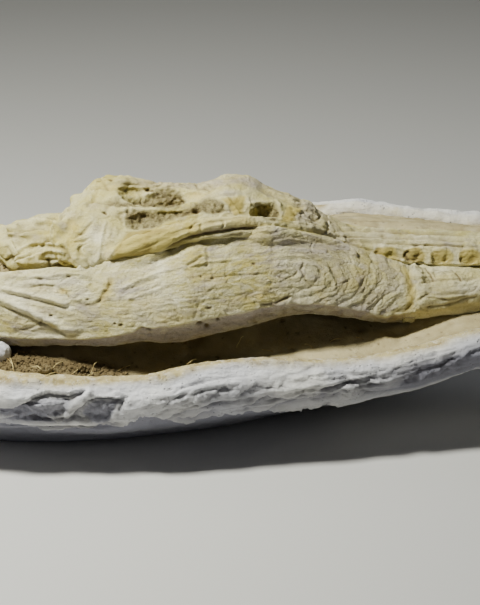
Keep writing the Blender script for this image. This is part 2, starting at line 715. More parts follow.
def settle(piece, finish, slot, *nodes):
    # Gives a finished piece its material, body, record slot and the nodes that it stands for
    piece.data.materials.clear()
    piece.data.materials.append(finish)
    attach(piece, "root")
    if nodes:
        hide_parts(*nodes)
    print("piece", piece.name, len(piece.data.loops) - 2 * len(piece.data.polygons), "triangles")
    return piece


def roughened(work, values, quiet=0.0):
    # The broken surface that all bones share, from wide lumps down to grit. quiet is 1 where it stays smooth
    place = work.start + noiseShift(work.start, 40.0, range(101, 104)) * 0.006
    lumps = layeredNoise(place, values["lumpScale"], 3, 1) * values["lumps"]
    chips = (ridgedNoise(place, values["chipScale"], 2, 5) - 0.55) * values["chips"]
    grit = layeredNoise(work.start, values["gritScale"], 2, 9) * values["grit"]
    fibre = ridgedNoise(place * np.array(values["fibreStretch"]), 1.0, 2, 13) - 0.5
    strength = 0.25 + 1.4 * eased(-0.3, 0.5, work.noise(20.0, 2, 19))
    work.push((lumps + (chips + grit + fibre * values["fibre"]) * strength) * (1 - quiet))
    bent = work.start + noiseShift(work.start, 24.0, range(201, 204)) * 0.030
    seams = eased(0.80, 0.97, ridgedNoise(bent * np.array((0.6, 1.0, 1.0)), values["creaseScale"], 1, 205))
    broken = eased(-0.1, 0.25, work.noise(34.0, 2, 207)) * (1 - quiet)
    work.push(-seams * broken * values["crease"])
    work.paint("dirt", seams * broken, 0.12)
    step = np.tanh(layeredNoise(bent, values["creaseScale"] * 0.8, 2, 211) * 9.0) * 0.5
    work.push(step * values["crease"] * 0.7 * (1 - quiet))


def carve(work, strokes, side=1.0):
    # strokes: path, width in picture steps, depth in millimetres (negative stands proud), dirt share
    where = work.facing * side
    places = work.wobbled(1.4, 0.012)
    for path, width, depth, dirt in strokes:
        field = strokeField(places, path, width) * where
        work.push(-field * depth * 0.001)
        if dirt:
            work.paint("dirt", field, dirt)


def nearSide(work):
    # 1 on the camera's half, easing to 0 past the middle plane
    return eased(0.03, 0.0, work.start[:, 1])


def sinkPits(work, pits, places, dirt, side=1.0):
    # pits: centre, radii, turn in degrees, depth in millimetres
    for centre, radii, turn, depth in pits:
        field = spotField(places, centre, radii, turn) * side * work.facing
        work.push(-field * depth * 0.001)
        work.paint("dirt", field, dirt)


def stain(work, stains, side=1.0):
    # stains: for each tint its spots, with centre, radii, turn in degrees and strength
    where = work.facing * side
    places = work.wobbled(5.0, 0.02, 31)
    cloud = 0.6 + 0.8 * work.noise(60.0, 3, 41)
    for key, spots in stains.items():
        for centre, radii, turn, strength in spots:
            work.paint(key, spotField(places, centre, radii, turn) * cloud * where, strength)


def cloudy(work, gain=1.0, pale=1.0):
    # Broad patches of the three tints that the whole fossil carries
    drift = (work.start + noiseShift(work.start, 30.0, range(130, 133)) * 0.012) * np.array((0.55, 1.0, 1.0))
    work.paint("ochre", eased(0.12, 0.55, layeredNoise(drift, 42.0, 3, 140)), 0.35 * gain)
    work.paint("mauve", eased(0.10, 0.50, layeredNoise(drift, 55.0, 3, 150)), 0.45 * gain)
    work.paint("pale", eased(0.05, 0.45, layeredNoise(drift, 70.0, 3, 160)), 0.45 * gain * pale)


def weathered(work, gain=1.0, clean=0.0):
    # Dirt gathers in hollows and crests wear pale
    hollow = work.hollows()
    work.paint("dirt", np.clip(hollow - 0.12, 0, 1) * (1 - clean), 0.55 * gain)
    work.paint("pale", np.clip(-hollow - 0.10, 0, 1) * (1 - clean), 0.45 * gain)


# The skull above the jaw, in two overlapping pieces: the cranium with what is fused to it, and the snout
upperNodes = ["cranium", "maxilla", "premaxilla", "jugal_right", "jugal_left", "quadrate_right", "quadrate_left",
              "occiput", "occipital_condyle"]
skullValues = {
    "voxel": 0.00136, "rounds": 10, "lumpScale": 34.0, "lumps": 0.0034, "chipScale": 80.0, "chips": 0.0011,
    "gritScale": 250.0, "grit": 0.0007, "fibreStretch": (40.0, 230.0, 230.0), "fibre": 0.0004,
    "creaseScale": 42.0, "crease": 0.0020, "clip": ("X", -0.500, 0.004), "unseenShare": 0.15,
    "lumpsAt": [
        ((62, 236), (0.016, 0.012, 0.020), 0, 0.010), ((66, 252), (0.013, 0.010, 0.015), 0, 0.009),
        ((72, 218), (0.018, 0.012, 0.012), -20, 0.010), ((118, 258), (0.020, 0.008, 0.010), -15, 0.007),
        ((52, 226), (0.020, 0.010, 0.008), 10, 0.008),
    ],
    "farEye": ((-0.082, 0.042, 0.224), (0.020, 0.011, 0.018)),
    "farHollows": [(-0.190, 0.037, 0.045, 0.020), (-0.205, 0.085, 0.040, 0.014), (-0.080, 0.050, 0.020, 0.020)],
    # path, offset, radii, depth and count of a ribbon
    "cheek": ([(118, 248), (136, 246), (156, 241), (178, 235), (196, 230), (214, 226), (232, 224), (250, 225),
               (268, 229), (286, 232), (304, 234), (322, 237), (338, 240)],
              (0, 0), (0.022, 0.0058, 0.0118), 0.0022, 64),
    "rearLumps": 0.0050, "matrixHeight": 0.0040, "matrixSink": 0.0012,
    "roughPatch": ((306, 216), (18, 14), 25), "roughHeight": 0.0030,
    "nodes": ["cranium", "jugal_right", "jugal_left", "quadrate_right", "quadrate_left", "occiput",
              "occipital_condyle"],
}
skullSmoothFills = [
    [(110, 264), (117, 247), (128, 232), (150, 229), (165, 227), (178, 234), (168, 246), (150, 254), (128, 260)],
    [(221, 199), (246, 196), (243, 214), (234, 215), (229, 206)],
    [(288, 205), (303, 207), (296, 217), (288, 223), (280, 223), (284, 213)],
]
skullGritty = [
    [(102, 203), (115, 200), (132, 201), (150, 198), (156, 190), (168, 187), (180, 192), (186, 202), (178, 210),
     (160, 208), (140, 206), (120, 208)],
    [(124, 221), (127, 213), (140, 210), (160, 213), (178, 213), (200, 204), (204, 208), (190, 216), (166, 221),
     (158, 227), (138, 229), (128, 228)],
    [(196, 203), (208, 197), (221, 201), (228, 210), (214, 215), (200, 212)],
    [(255, 206), (264, 205), (273, 204), (278, 208), (280, 216), (275, 222), (267, 219), (258, 214)],
]
mouthLine = [(163, 250), (180, 243), (195, 236.5), (210, 233), (225, 231), (240, 228.5), (252, 228), (264, 229.5),
             (276, 232), (290, 236), (312, 238), (332, 240), (352, 245), (385, 255)]
skullStrokes = [
    (mouthLine[:8], 2.2, 4.2, 0.8),
    (mouthLine[7:], 1.0, 0.4, 0.05),
    *bundle([(160, 234), (184, 226), (210, 219), (250, 215)], 7, 14.0, 1.1, 0.6, 0.08, 1),
    *bundle([(112, 219), (106, 242), (100, 264)], 3, 9.0, 1.1, 0.5, 0.05, 2),
    *bundle([(84, 189), (110, 183), (150, 184), (200, 187), (216, 184)], 5, 8.0, 1.4, 1.4, 0.10, 4),
    *bundle([(0, 230), (30, 224), (62, 224)], 5, 14.0, 1.8, 2.2, 0.15, 5),
    *bundle([(8, 258), (36, 246), (66, 250)], 5, 18.0, 1.8, 2.2, 0.15, 6),
    *bundle([(284, 198), (310, 207), (336, 226)], 6, 16.0, 1.1, 1.0, 0.10, 7),
    *bundle([(250, 224), (290, 229), (336, 238), (352, 243)], 8, 15.0, 1.0, 0.5, 0.08, 8),
    *bundle([(176, 200), (196, 194), (216, 190), (236, 188)], 4, 8.0, 1.2, 1.2, 0.10, 9),
    *bundle([(150, 180), (190, 183), (236, 188)], 6, 10.0, 1.3, 1.6, 0.14, 10),
    *bundle([(114, 258), (138, 250), (166, 239)], 5, 18.0, 1.8, 1.0, 0.12, 15),
    *bundle([(214, 178), (240, 176), (262, 184)], 4, 10.0, 1.4, 1.3, 0.12, 11),
    *bundle([(252, 176), (284, 190), (322, 208)], 6, 20.0, 1.3, 1.5, 0.14, 12),
    *bundle([(270, 200), (300, 214), (334, 230)], 5, 18.0, 1.2, 1.1, 0.12, 13),
    *bundle([(96, 176), (90, 196), (74, 214)], 4, 16.0, 1.5, 1.4, 0.10, 14),
    ([(206, 243), (216, 240), (226, 237), (245, 232.5)], 1.3, 1.6, 0.5),
    ([(212, 196.5), (222, 195), (237, 195.3)], 1.2, 1.2, 0.3),
    ([(106, 219), (101.5, 243), (96.5, 264)], 1.8, -1.5, 0.0),
    ([(94, 221), (86, 229), (80, 235), (73.5, 239)], 1.1, 1.4, 0.3),
    ([(122, 243), (109, 256)], 1.2, -1.2, 0.0),
    ([(112, 269), (125, 263), (136, 259), (155, 255)], 1.4, 1.6, 0.3),
    ([(74, 206), (82, 200), (94, 200), (104, 204)], 2.2, 2.0, 0.15),
    ([(84, 190), (97, 186.5), (112, 189), (140, 191), (160, 187)], 2.0, 1.6, 0.15),
    ([(95, 178), (104, 183), (109, 190)], 1.6, 1.6, 0.2),
    ([(98, 181), (112, 178), (128, 180)], 2.4, -1.6, 0.0),
    ([(150, 183.5), (172, 186), (200, 188), (214, 184)], 1.4, -1.2, 0.0),
    ([(176, 197), (190, 193), (205, 191), (222, 190)], 1.8, -1.8, 0.0),
    ([(104, 199), (124, 197), (146, 196), (160, 191)], 1.8, -1.6, 0.0),
    ([(120, 209), (150, 209.5), (176, 208), (196, 203)], 1.8, -1.6, 0.0),
    ([(160, 229), (178, 222), (196, 217), (214, 214.5)], 1.4, 1.2, 0.15),
    ([(164, 236), (184, 229), (206, 223), (226, 220), (248, 218)], 1.3, 1.0, 0.15),
    ([(168, 240), (190, 231), (210, 226), (232, 223)], 1.4, -1.2, 0.0),
    ([(267, 229), (280, 231.5), (293, 235)], 1.1, 1.1, 0.3),
    ([(246, 197), (250, 204), (262, 203), (276, 203), (282, 210)], 2.0, -2.0, 0.0),
    ([(226, 197), (233, 206), (240, 214)], 1.6, -1.4, 0.0),
    ([(303, 207), (312, 214), (322, 222), (332, 231)], 1.8, -1.2, 0.0),
    ([(295, 196), (308, 202), (320, 211)], 1.8, 1.2, 0.1),
    ([(256, 186), (270, 193), (284, 200)], 1.8, 1.0, 0.1),
    ([(0, 226), (14, 229), (22, 223), (38, 219), (52, 221), (62, 226)], 2.6, -2.6, 0.0),
    ([(14, 234), (26, 230), (40, 227), (54, 229)], 2.2, 2.4, 0.3),
    ([(0, 240), (12, 236), (26, 238), (40, 234), (56, 232)], 2.2, 1.8, 0.2),
    ([(22, 246), (34, 240), (48, 240)], 2.4, -1.8, 0.0),
    ([(36, 256), (46, 251), (58, 250), (66, 254)], 2.2, -2.4, 0.0),
    ([(38, 261), (50, 260), (62, 261)], 1.8, 2.2, 0.3),
    ([(48, 258), (50, 264), (49, 270)], 1.4, 1.8, 0.4),
    ([(4, 262), (18, 257), (32, 254)], 2.0, 1.8, 0.2),
    ([(6, 246), (10, 254), (12, 262)], 2.0, 2.0, 0.3),
    ([(60, 244), (67, 252), (70, 262)], 2.2, 2.4, 0.3),
]
snoutStrokes = [
    (mouthLine[10:], 1.4, 1.2, 0.3),
    *bundle([(330, 234), (372, 234), (420, 237), (479, 239)], 10, 18.0, 1.0, 1.4, 0.18, 21),
    *bundle([(336, 250), (360, 256), (384, 268)], 4, 10.0, 1.0, 1.0, 0.15, 22),
    ([(330, 231), (372, 230.5), (420, 233), (479, 235)], 1.4, 1.3, 0.2),
    ([(336, 237), (380, 237), (430, 240), (479, 241.5)], 1.2, 1.1, 0.2),
    ([(352, 243), (392, 243.5), (440, 246), (479, 248)], 1.2, 1.0, 0.2),
    ([(341, 233), (347, 246), (355, 262)], 1.6, -1.6, 0.0),
    ([(336, 238), (342, 250), (348, 262)], 1.4, 1.4, 0.2),
    ([(358, 240), (366, 252), (371, 262)], 1.5, -1.2, 0.0),
    ([(370, 257), (374, 263)], 1.2, 1.4, 0.5),
]
skullPits = [((60, 268), (9.0, 5.0), -20, 4.0), ((104, 213), (2.6, 1.3), 20, 3.2),
             ((148, 190), (1.8, 1.6), 0, 2.6), ((152, 191.5), (2.4, 1.0), 10, 2.4),
             ((110, 181), (2.0, 1.2), 0, 1.5), ((196, 212), (4.0, 2.4), -15, 4.5)]
skullStains = {
    "dirt": [((125, 181), (24, 5), 4, 0.30), ((60, 214), (16, 4), -22, 0.35), ((100, 206), (9, 4), 0, 0.25),
             ((20, 232), (20, 7), 0, 0.20), ((262, 190), (24, 5), 22, 0.16), ((150, 204), (26, 3), 0, 0.35),
             ((172, 201), (16, 5), 8, 0.55), ((138, 216), (14, 5), 0, 0.45), ((190, 212), (12, 3), -18, 0.6),
             ((236.5, 224), (1.6, 1.2), 0, 0.5), ((242.5, 223), (1.2, 1.2), 0, 0.5), ((215, 228), (26, 3), -12, 0.15)],
    "ochre": [((145, 185), (52, 7), 2, 0.30), ((205, 228), (46, 9), -14, 0.45), ((140, 243), (10, 6), -10, 0.75),
              ((196, 196), (14, 3.5), -5, 0.55), ((170, 226), (16, 5), -20, 0.35),
              ((108, 250), (5, 16), 12, 0.35), ((72, 228), (6, 12), 0, 0.3), ((195, 224), (30, 5), -14, 0.35),
              ((262, 226), (14, 3), 6, 0.35), ((130, 194), (16, 4), 4, 0.3), ((395, 258), (10, 8), 0, 0.55),
              ((428, 256), (8, 7), 0, 0.6), ((468, 256), (9, 8), 0, 0.7)],
    "mauve": [((225, 181), (70, 8), 0, 0.65), ((180, 181), (60, 6), 0, 0.45), ((400, 238), (70, 9), 2, 0.35),
              ((290, 192), (34, 10), 24, 0.6), ((330, 222), (26, 9), 24, 0.5),
              ((306, 216), (16, 13), 25, 0.75), ((212, 230), (13, 2.4), -8, 0.9), ((226, 193), (12, 2.0), 0, 0.7),
              ((93, 207), (7, 4), 0, 0.6), ((122, 216), (10, 4), 0, 0.5), ((330, 238), (30, 9), 4, 0.45),
              ((350, 249), (12, 6), 0, 0.45), ((250, 181), (16, 5), 0, 0.35), ((75, 215), (9, 5), 0, 0.4)],
    "pale": [((38, 256), (24, 13), 0, 0.5), ((95, 242), (15, 20), 0, 0.55), ((95, 236), (7, 8), 0, 0.8),
             ((82, 188), (4, 12), 25, 0.8), ((100, 258), (8, 7), 0, 0.6),
             ((170, 186), (30, 2.5), 3, 0.5), ((420, 238), (60, 3), 2, 0.6), ((356, 254), (6, 5), 0, 0.7),
             ((407, 262), (6, 4), 0, 0.6), ((385, 247), (14, 4), 0, 0.5)],
}


def upperHidden(points, normals):
    return ((normals[:, 2] < -0.5) & (points[:, 2] < 0.262)) | (points[:, 0] > 0.0) & (np.abs(normals[:, 0]) > 0.9)


def makeSkull():
    values = skullValues
    plugs = [*ribbon(*values["cheek"]), ellipsoid(*values["farEye"])]
    piece = fineSkin("skull", upperNodes, values, upperHidden, values["lumpsAt"], plugs)
    work = Sculpture(piece)
    near = nearSide(work)
    places = work.wobbled(3.0, 0.014)
    fill = sum(patchField(places, outline, 2.2) for outline in skullSmoothFills).clip(0, 1) * near * work.facing
    gritty = sum(patchField(places, outline, 2.4) for outline in skullGritty).clip(0, 1) * near * work.facing
    gritty = np.maximum(gritty, farHollows(work))
    roughened(work, values, fill * 0.6)
    rear = eased(-0.285, -0.305, work.start[:, 0])
    work.push(rear * work.noise(38.0, 3, 53) * values["rearLumps"])
    work.push(gritty * (work.noise(210.0, 3, 51) * values["matrixHeight"] - values["matrixSink"]))
    roughPatch = spotField(work.picture, *values["roughPatch"]) * work.facing * near
    work.push(roughPatch * work.noise(180.0, 2, 57) * values["roughHeight"])
    carve(work, skullStrokes, near)
    sinkPits(work, skullPits, places, 0.9, near)
    work.paint("fill", fill)
    work.paint("gritty", gritty)
    stain(work, skullStains, near)
    cloudy(work, 1.0, 0.35)
    weathered(work, 0.9, fill * 0.8)
    work.finish()
    return settle(piece, bone, "bone", *values["nodes"])


def farHollows(work):
    # The temporal openings and the eye socket of the far side hold the same coarse matrix
    field = np.zeros(len(work.start))
    for x, y, radiusX, radiusY in skullValues["farHollows"]:
        away = ((work.start[:, 0] - x) / radiusX) ** 2 + ((work.start[:, 1] - y) / radiusY) ** 2
        field = np.maximum(field, np.exp(-away ** 2))
    return field * eased(0.0, 0.2, work.hollows(12, 260.0) + 0.1) * (work.start[:, 1] > 0.01)


snoutValues = {
    "voxel": 0.0014, "rounds": 8, "lumpScale": 34.0, "lumps": 0.0022, "chipScale": 95.0, "chips": 0.0009,
    "gritScale": 260.0, "grit": 0.0006, "fibreStretch": (9.0, 290.0, 290.0), "fibre": 0.0018, "creaseScale": 46.0,
    "crease": 0.0012, "clip": ("X", -0.010, 0.500), "unseenShare": 0.15, "nodes": ["maxilla", "premaxilla"],
    "lowEdge": ((0.0, 0.1, 0.3, 0.46), (0.204, 0.1885, 0.177, 0.166)), "bumps": 0.0022, "tip": (0.452, 0.035, 0.35),
}
socketValues = {
    "first": 0.052, "last": 0.400, "pitch": 0.031, "long": 0.0125, "tall": 0.0085, "fill": 0.0018, "fillSink": 0.0004,
    "slit": 0.0022, "plugRadii": (0.0140, 0.0085, 0.0110), "plugDepth": 0.0078, "farDrop": 0.0145,
    "line": ((0.052, 0.10, 0.167, 0.30, 0.40), (0.1985, 0.1963, 0.1941, 0.1843, 0.1774)),
}


def socketPlaces():
    values = socketValues
    count = round((values["last"] - values["first"]) / values["pitch"])
    places = []
    for i in range(count + 1):
        x = values["first"] + (values["last"] - values["first"]) * i / count
        for side in (-1, 1):
            places.append((x, side, socketHeight(x, side)))
    return places


def socketPlugs():
    # Matrix that fills each socket nearly to its rim
    snoutTree = solidTrees[list(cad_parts).index("maxilla")]
    tipTree = solidTrees[list(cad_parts).index("premaxilla")]
    plugs = []
    for x, side, z in socketPlaces():
        faces = []
        for shift in (-socketValues["pitch"] / 2, socketValues["pitch"] / 2):
            for tree in (snoutTree, tipTree):
                hit = tree.ray_cast(Vector((x + shift, side * 0.3, z)), Vector((0, -side, 0)))[0]
                if hit:
                    faces.append(abs(hit.y))
        if faces:
            away = sum(faces) / len(faces) - socketValues["plugDepth"]
            plugs.append(ellipsoid((x, side * away, z), socketValues["plugRadii"]))
    return plugs


def socketHeight(x, side):
    # The sockets' middle line on each side, the far one sunk as the solid is
    line = np.interp(x, *socketValues["line"])
    return line if side < 0 else line - socketValues["farDrop"]


def toothWave(work, shift):
    # Low waves along X that keep step with the sockets
    return np.sin((work.start[:, 0] - socketValues["first"]) * math.tau / socketValues["pitch"] + shift) * 0.5 + 0.5


def rimSockets(work):
    # Each socket: a low worn rim, an uneven filling and a dark slit at its rear edge
    values = socketValues
    shaken = work.start + noiseShift(work.start, 90.0, range(110, 113)) * 0.0035
    for i, (x, side, z) in enumerate(socketPlaces()):
        band = (work.start[:, 1] * side > 0) * (np.abs(work.normals[:, 1]) > 0.2)
        right = (shaken[:, 0] - x - 0.002) / values["long"]
        up = (shaken[:, 2] - z) / values["tall"]
        away = np.sqrt(right ** 2 + up ** 2)
        rim = np.exp(-((away - 1.15) / 0.22) ** 2) * band
        inner = eased(1.05, 0.75, away) * band
        work.push(inner * (work.noise(120.0, 2, 120) * values["fill"] - values["fillSink"]))
        work.paint("fill", eased(1.25, 0.85, away) * band, 0.95)
        work.paint("ochre", inner, 0.8 if i // 2 % 2 == 1 else 0.35)
        work.paint("dirt", inner, 0.30 if i // 2 % 3 == 1 else 0.06)
        work.paint("pale", rim, 0.3)
        slit = np.exp(-((away - 0.85) / 0.12) ** 2) * eased(-0.2, -0.7, right) * band
        slit = slit * (0.9 if i // 2 % 3 == 1 else 0.3)
        work.push(-slit * values["slit"])
        work.paint("dirt", slit, 0.7)


def snoutHidden(points, normals):
    return (normals[:, 2] < -0.5) | (points[:, 0] < -0.006)


def makeSnout():
    values = snoutValues
    piece = fineSkin("snout", upperNodes, values, snoutHidden, plugs=socketPlugs())
    work = Sculpture(piece)
    near = nearSide(work)
    roughened(work, values)
    carve(work, snoutStrokes, near)
    rimSockets(work)
    bumps = toothWave(work, 2.2)
    side = eased(0.35, 0.8, np.abs(work.normals[:, 1]))
    low = np.interp(work.start[:, 0], *values["lowEdge"])
    edge = eased(0.008, 0.0, work.start[:, 2] - low) * side * (work.start[:, 1] < 0)
    work.push((bumps - 0.4) * edge * values["bumps"])
    stain(work, skullStains, near)
    cloudy(work, 1.0, 0.5)
    weathered(work, 0.9)
    work.roundEnd(*values["tip"])
    work.finish()
    return settle(piece, bone, "bone", *values["nodes"])


makeSkull()
makeSnout()


# The near half of the lower jaw, from the articular to the suture with the front
jawValues = {
    "voxel": 0.00125, "rounds": 14, "lumpScale": 26.0, "lumps": 0.0026, "chipScale": 80.0, "chips": 0.0005,
    "gritScale": 330.0, "grit": 0.0004, "fibreStretch": (22.0, 190.0, 190.0), "fibre": 0.0003, "creaseScale": 36.0,
    "crease": 0.0007, "clip": ("X", -0.6, 0.096), "unseenShare": 0.12,
    "nodes": ["articular_right", "mandible_ramus_right"],
    "scales": (4.2, 10.0), "ripples": (7.4, 16.0), "fineScales": (2.1, 5.0),  # step between rows, and length
    "plateHeight": 0.0005, "rippleHeight": 0.0012, "crackDepth": 0.0004, "fineHeight": 0.0004, "fineLean": 0.0003,
    "edgeRoll": 0.0016, "edgeFall": 0.0018, "underside": 0.0030, "frontFall": 0.0030, "lump": 0.0032, "seam": 0.004,
    "rearEnd": (0.070, 0.55),
    # path, offset, radii, depth and count of each ribbon
    "joint": ([(252, 234), (266, 235), (280, 237), (294, 240), (308, 243.5), (322, 246.5), (336, 249.5), (350, 254)],
              (0, 9), (0.016, 0.006, 0.0130), 0.001, 24),
    "rearJoint": ([(84, 268), (94, 269), (106, 268), (120, 266), (134, 262), (148, 257), (160, 253)],
                  (0, 7), (0.014, 0.005, 0.0085), 0.0045, 24),
    "frontJoint": ([(412, 267), (414, 275), (415, 284), (415, 293), (413, 302), (410, 310)],
                   (7, 0), (0.009, 0.006, 0.0130), 0.0045, 14),
}
lowerEdge = [(-40, 334), (0, 335), (33, 338), (83, 338), (107, 336), (127, 332), (142, 328), (168, 326), (191, 321),
             (214, 317), (240, 312), (270, 306), (290, 302), (320, 303), (353, 309), (386, 316), (420, 312)]
jawSpine = [(-40, 312), (0, 306), (60, 303), (110, 300), (160, 294), (200, 288), (245, 281), (290, 275)]
jawStrokes = [
    (mouthLine[:8], 2.0, 2.0, 0.6),
    *bundle([(118, 296), (150, 284), (200, 276), (250, 270)], 5, 28.0, 1.4, 0.4, 0.04, 41),
    *bundle([(110, 318), (160, 308), (215, 300), (270, 290)], 5, 28.0, 1.4, 0.4, 0.04, 42),
    *bundle([(170, 262), (220, 246), (270, 244), (330, 252)], 6, 26.0, 1.2, 0.35, 0.04, 43),
    *bundle([(0, 285), (40, 284), (86, 290)], 4, 12.0, 1.3, 0.6, 0.06, 44),
    *bundle([(0, 320), (40, 328), (90, 332)], 4, 12.0, 1.4, 0.7, 0.06, 45),
    ([(113, 277), (109, 286), (104, 294), (101, 300), (95, 305), (85, 306), (74, 301)], 2.0, 1.8, 0.3),
    ([(0, 277), (46, 276), (69, 273.5), (86, 274.7), (98.7, 280), (107, 285.6)], 2.4, -1.6, 0.0),
    ([(0, 288), (24, 293), (48, 299), (69, 305)], 2.2, -2.8, 0.0),
    ([(0, 292.5), (24, 297.5), (48, 303), (69, 309)], 1.6, 1.6, 0.25),
    ([(-20, 290), (0, 299), (28, 310), (52, 322), (76, 333)], 3.6, -4.2, 0.0),
    ([(0, 305), (20, 314), (44, 325), (66, 335)], 1.8, 2.0, 0.25),
    ([(30, 287), (45, 285), (58, 287), (66, 292)], 1.2, 1.3, 0.3),
    ([(44, 317), (40, 324), (30, 328), (20, 330)], 1.2, 1.2, 0.3),
    ([(66, 292), (71, 299)], 1.0, 1.2, 0.3),
    ([(206, 247), (208, 256), (206, 268)], 1.6, 1.1, 0.2),
    ([(186, 267), (194, 262), (203, 255)], 1.6, 1.4, 0.15),
    ([(200, 300), (197, 310), (194, 318)], 1.2, 0.6, 0.12),
    ([(217, 286), (207, 293), (199, 300)], 1.2, 0.6, 0.12),
    ([(132, 296), (150, 289), (163, 285)], 1.4, 1.2, 0.15),
    ([(126, 300), (140, 294), (165, 287)], 1.8, -1.4, 0.0),
    ([(120, 290), (136, 281), (158, 272), (176, 268)], 1.8, -1.4, 0.0),
    ([(118, 296), (136, 286), (160, 277)], 1.4, 1.2, 0.15),
    ([(260, 306), (274, 304), (283, 300), (292, 295.5)], 1.6, 3.0, 0.6),
    ([(304, 262), (301, 270), (306, 281), (315, 288)], 1.3, 1.4, 0.25),
    ([(276, 275), (284, 279), (294, 276), (299, 270)], 1.2, 1.2, 0.2),
    ([(312, 258), (322, 262), (333, 270), (341, 280)], 1.3, 1.4, 0.2),
    ([(298, 262), (318, 266), (332, 277), (336, 290)], 1.6, -1.6, 0.0),
    ([(160, 272), (185, 267), (206, 262), (240, 259)], 1.3, -1.0, 0.0),
    ([(206, 279), (240, 275), (270, 274)], 1.3, 1.0, 0.15),
]
jawPits = [((51, 316), (1.6, 1.3), 0, 2.4), ((121, 325), (2.4, 1.5), 0, 2.6), ((115, 323.5), (1.5, 1.0), 0, 2.0),
           ((143, 328.5), (3.4, 1.5), 0, 3.0), ((149, 330.5), (2.6, 1.6), 0, 2.6), ((200, 324), (3.0, 1.8), 0, 3.0),
           ((207, 327), (2.6, 2.0), 0, 3.0), ((218, 321), (2.0, 1.2), 0, 2.0), ((254, 264), (2.0, 1.4), 0, 2.0),
           ((209, 308), (2.4, 1.6), 0, 1.6), ((40, 279), (3.0, 1.0), 0, 1.2), ((69, 276.5), (2.4, 1.0), 0, 1.4),
           ((88, 299.5), (2.0, 1.0), 0, 1.6), ((201, 277), (1.2, 1.2), 0, 1.4)]
jawStains = {
    "ochre": [((63, 291), (8, 3.5), 12, 1.0), ((45, 290), (14, 4), 6, 0.5), ((50.5, 325.5), (6, 1.8), 25, 0.9),
              ((60, 311), (30, 6), 12, 0.35), ((20, 322), (26, 6), 10, 0.35), ((75, 337), (12, 3), 0, 0.5),
              ((170, 318), (22, 8), -8, 0.45), ((130, 308), (20, 7), -4, 0.30), ((205, 277), (22, 5), 0, 0.45),
              ((150, 300), (16, 5), -5, 0.35), ((265, 294), (26, 5), -8, 0.45), ((240, 303), (26, 5), -10, 0.35),
              ((300, 240), (30, 4), 3, 0.25), ((196, 256), (8, 7), 0, 0.3), ((345, 285), (12, 10), 0, 0.2),
              ((107, 290), (5, 10), 15, 0.4), ((411, 296), (4, 22), -8, 0.8)],
    "mauve": [((345, 275), (60, 34), 0, 0.42), ((280, 278), (8, 6), 0, 0.6), ((120, 341), (60, 4), -4, 0.85),
              ((60, 341), (40, 4), 3, 0.75), ((190, 333), (40, 5), -12, 0.80), ((255, 314), (36, 5), -14, 0.85),
              ((340, 306), (60, 5), 6, 0.6), ((200, 287), (14, 5), -5, 0.5), ((130, 290), (22, 9), -12, 0.45),
              ((320, 246), (60, 7), 4, 0.45), ((260, 250), (50, 9), 0, 0.30), ((85, 322), (12, 6), 0, 0.35)],
    "pale": [((50, 306), (56, 26), 10, 0.65), ((165, 300), (60, 22), -8, 0.30), ((60, 280), (34, 4), -2, 0.8),
             ((20, 296), (24, 2.5), 14, 0.8), ((35, 312), (42, 3.2), 26, 0.9),
             ((150, 268), (30, 10), -16, 0.55), ((140, 316), (16, 5), -4, 0.4), ((60, 335), (40, 3), 4, 0.4),
             ((230, 306), (26, 3), -12, 0.45), ((300, 268), (24, 6), 6, 0.3), ((185, 300), (30, 10), -6, 0.25)],
}


def growthScales(work, places, spine, step, length):
    # Overlapping scales of bone in rows that follow the spine line and swing round its front end:
    # how clear a scale's border is, its chance value, its lean and the height of its row
    shake = noiseShift(work.start, 26.0, (70, 75)) * (6.0, 4.5) + noiseShift(work.start, 110.0, (80, 85)) * 1.6
    places = places + shake
    below = places[:, 1] - lineAt(spine, places[:, 0])
    ahead = np.maximum(places[:, 0] - spine[-1][0], 0.0) * 0.50
    behind = np.maximum(spine[-1][0] - places[:, 0], 0.0)
    radius = np.hypot(below, ahead)
    swing = math.pi / 2 - np.arctan2(ahead, np.abs(below) + 1e-6)
    along = np.sign(below) * (behind + swing * radius)
    rows = np.stack((radius / step, along / length, np.full(len(radius), 0.5)), axis=1)
    border, value, lean = cellNoise(rows, 1.0, 17)
    share = (radius / step) % 1.0
    crest = np.where(share < 0.7, share / 0.7, (1 - share) / 0.3) - 0.5
    return border, value - 0.5, lean, crest


frontPlugs = ribbon(*jawValues["frontJoint"])


def nearJawHidden(points, normals):
    return (normals[:, 1] > 0.05) & (normals[:, 2] < 0.75)


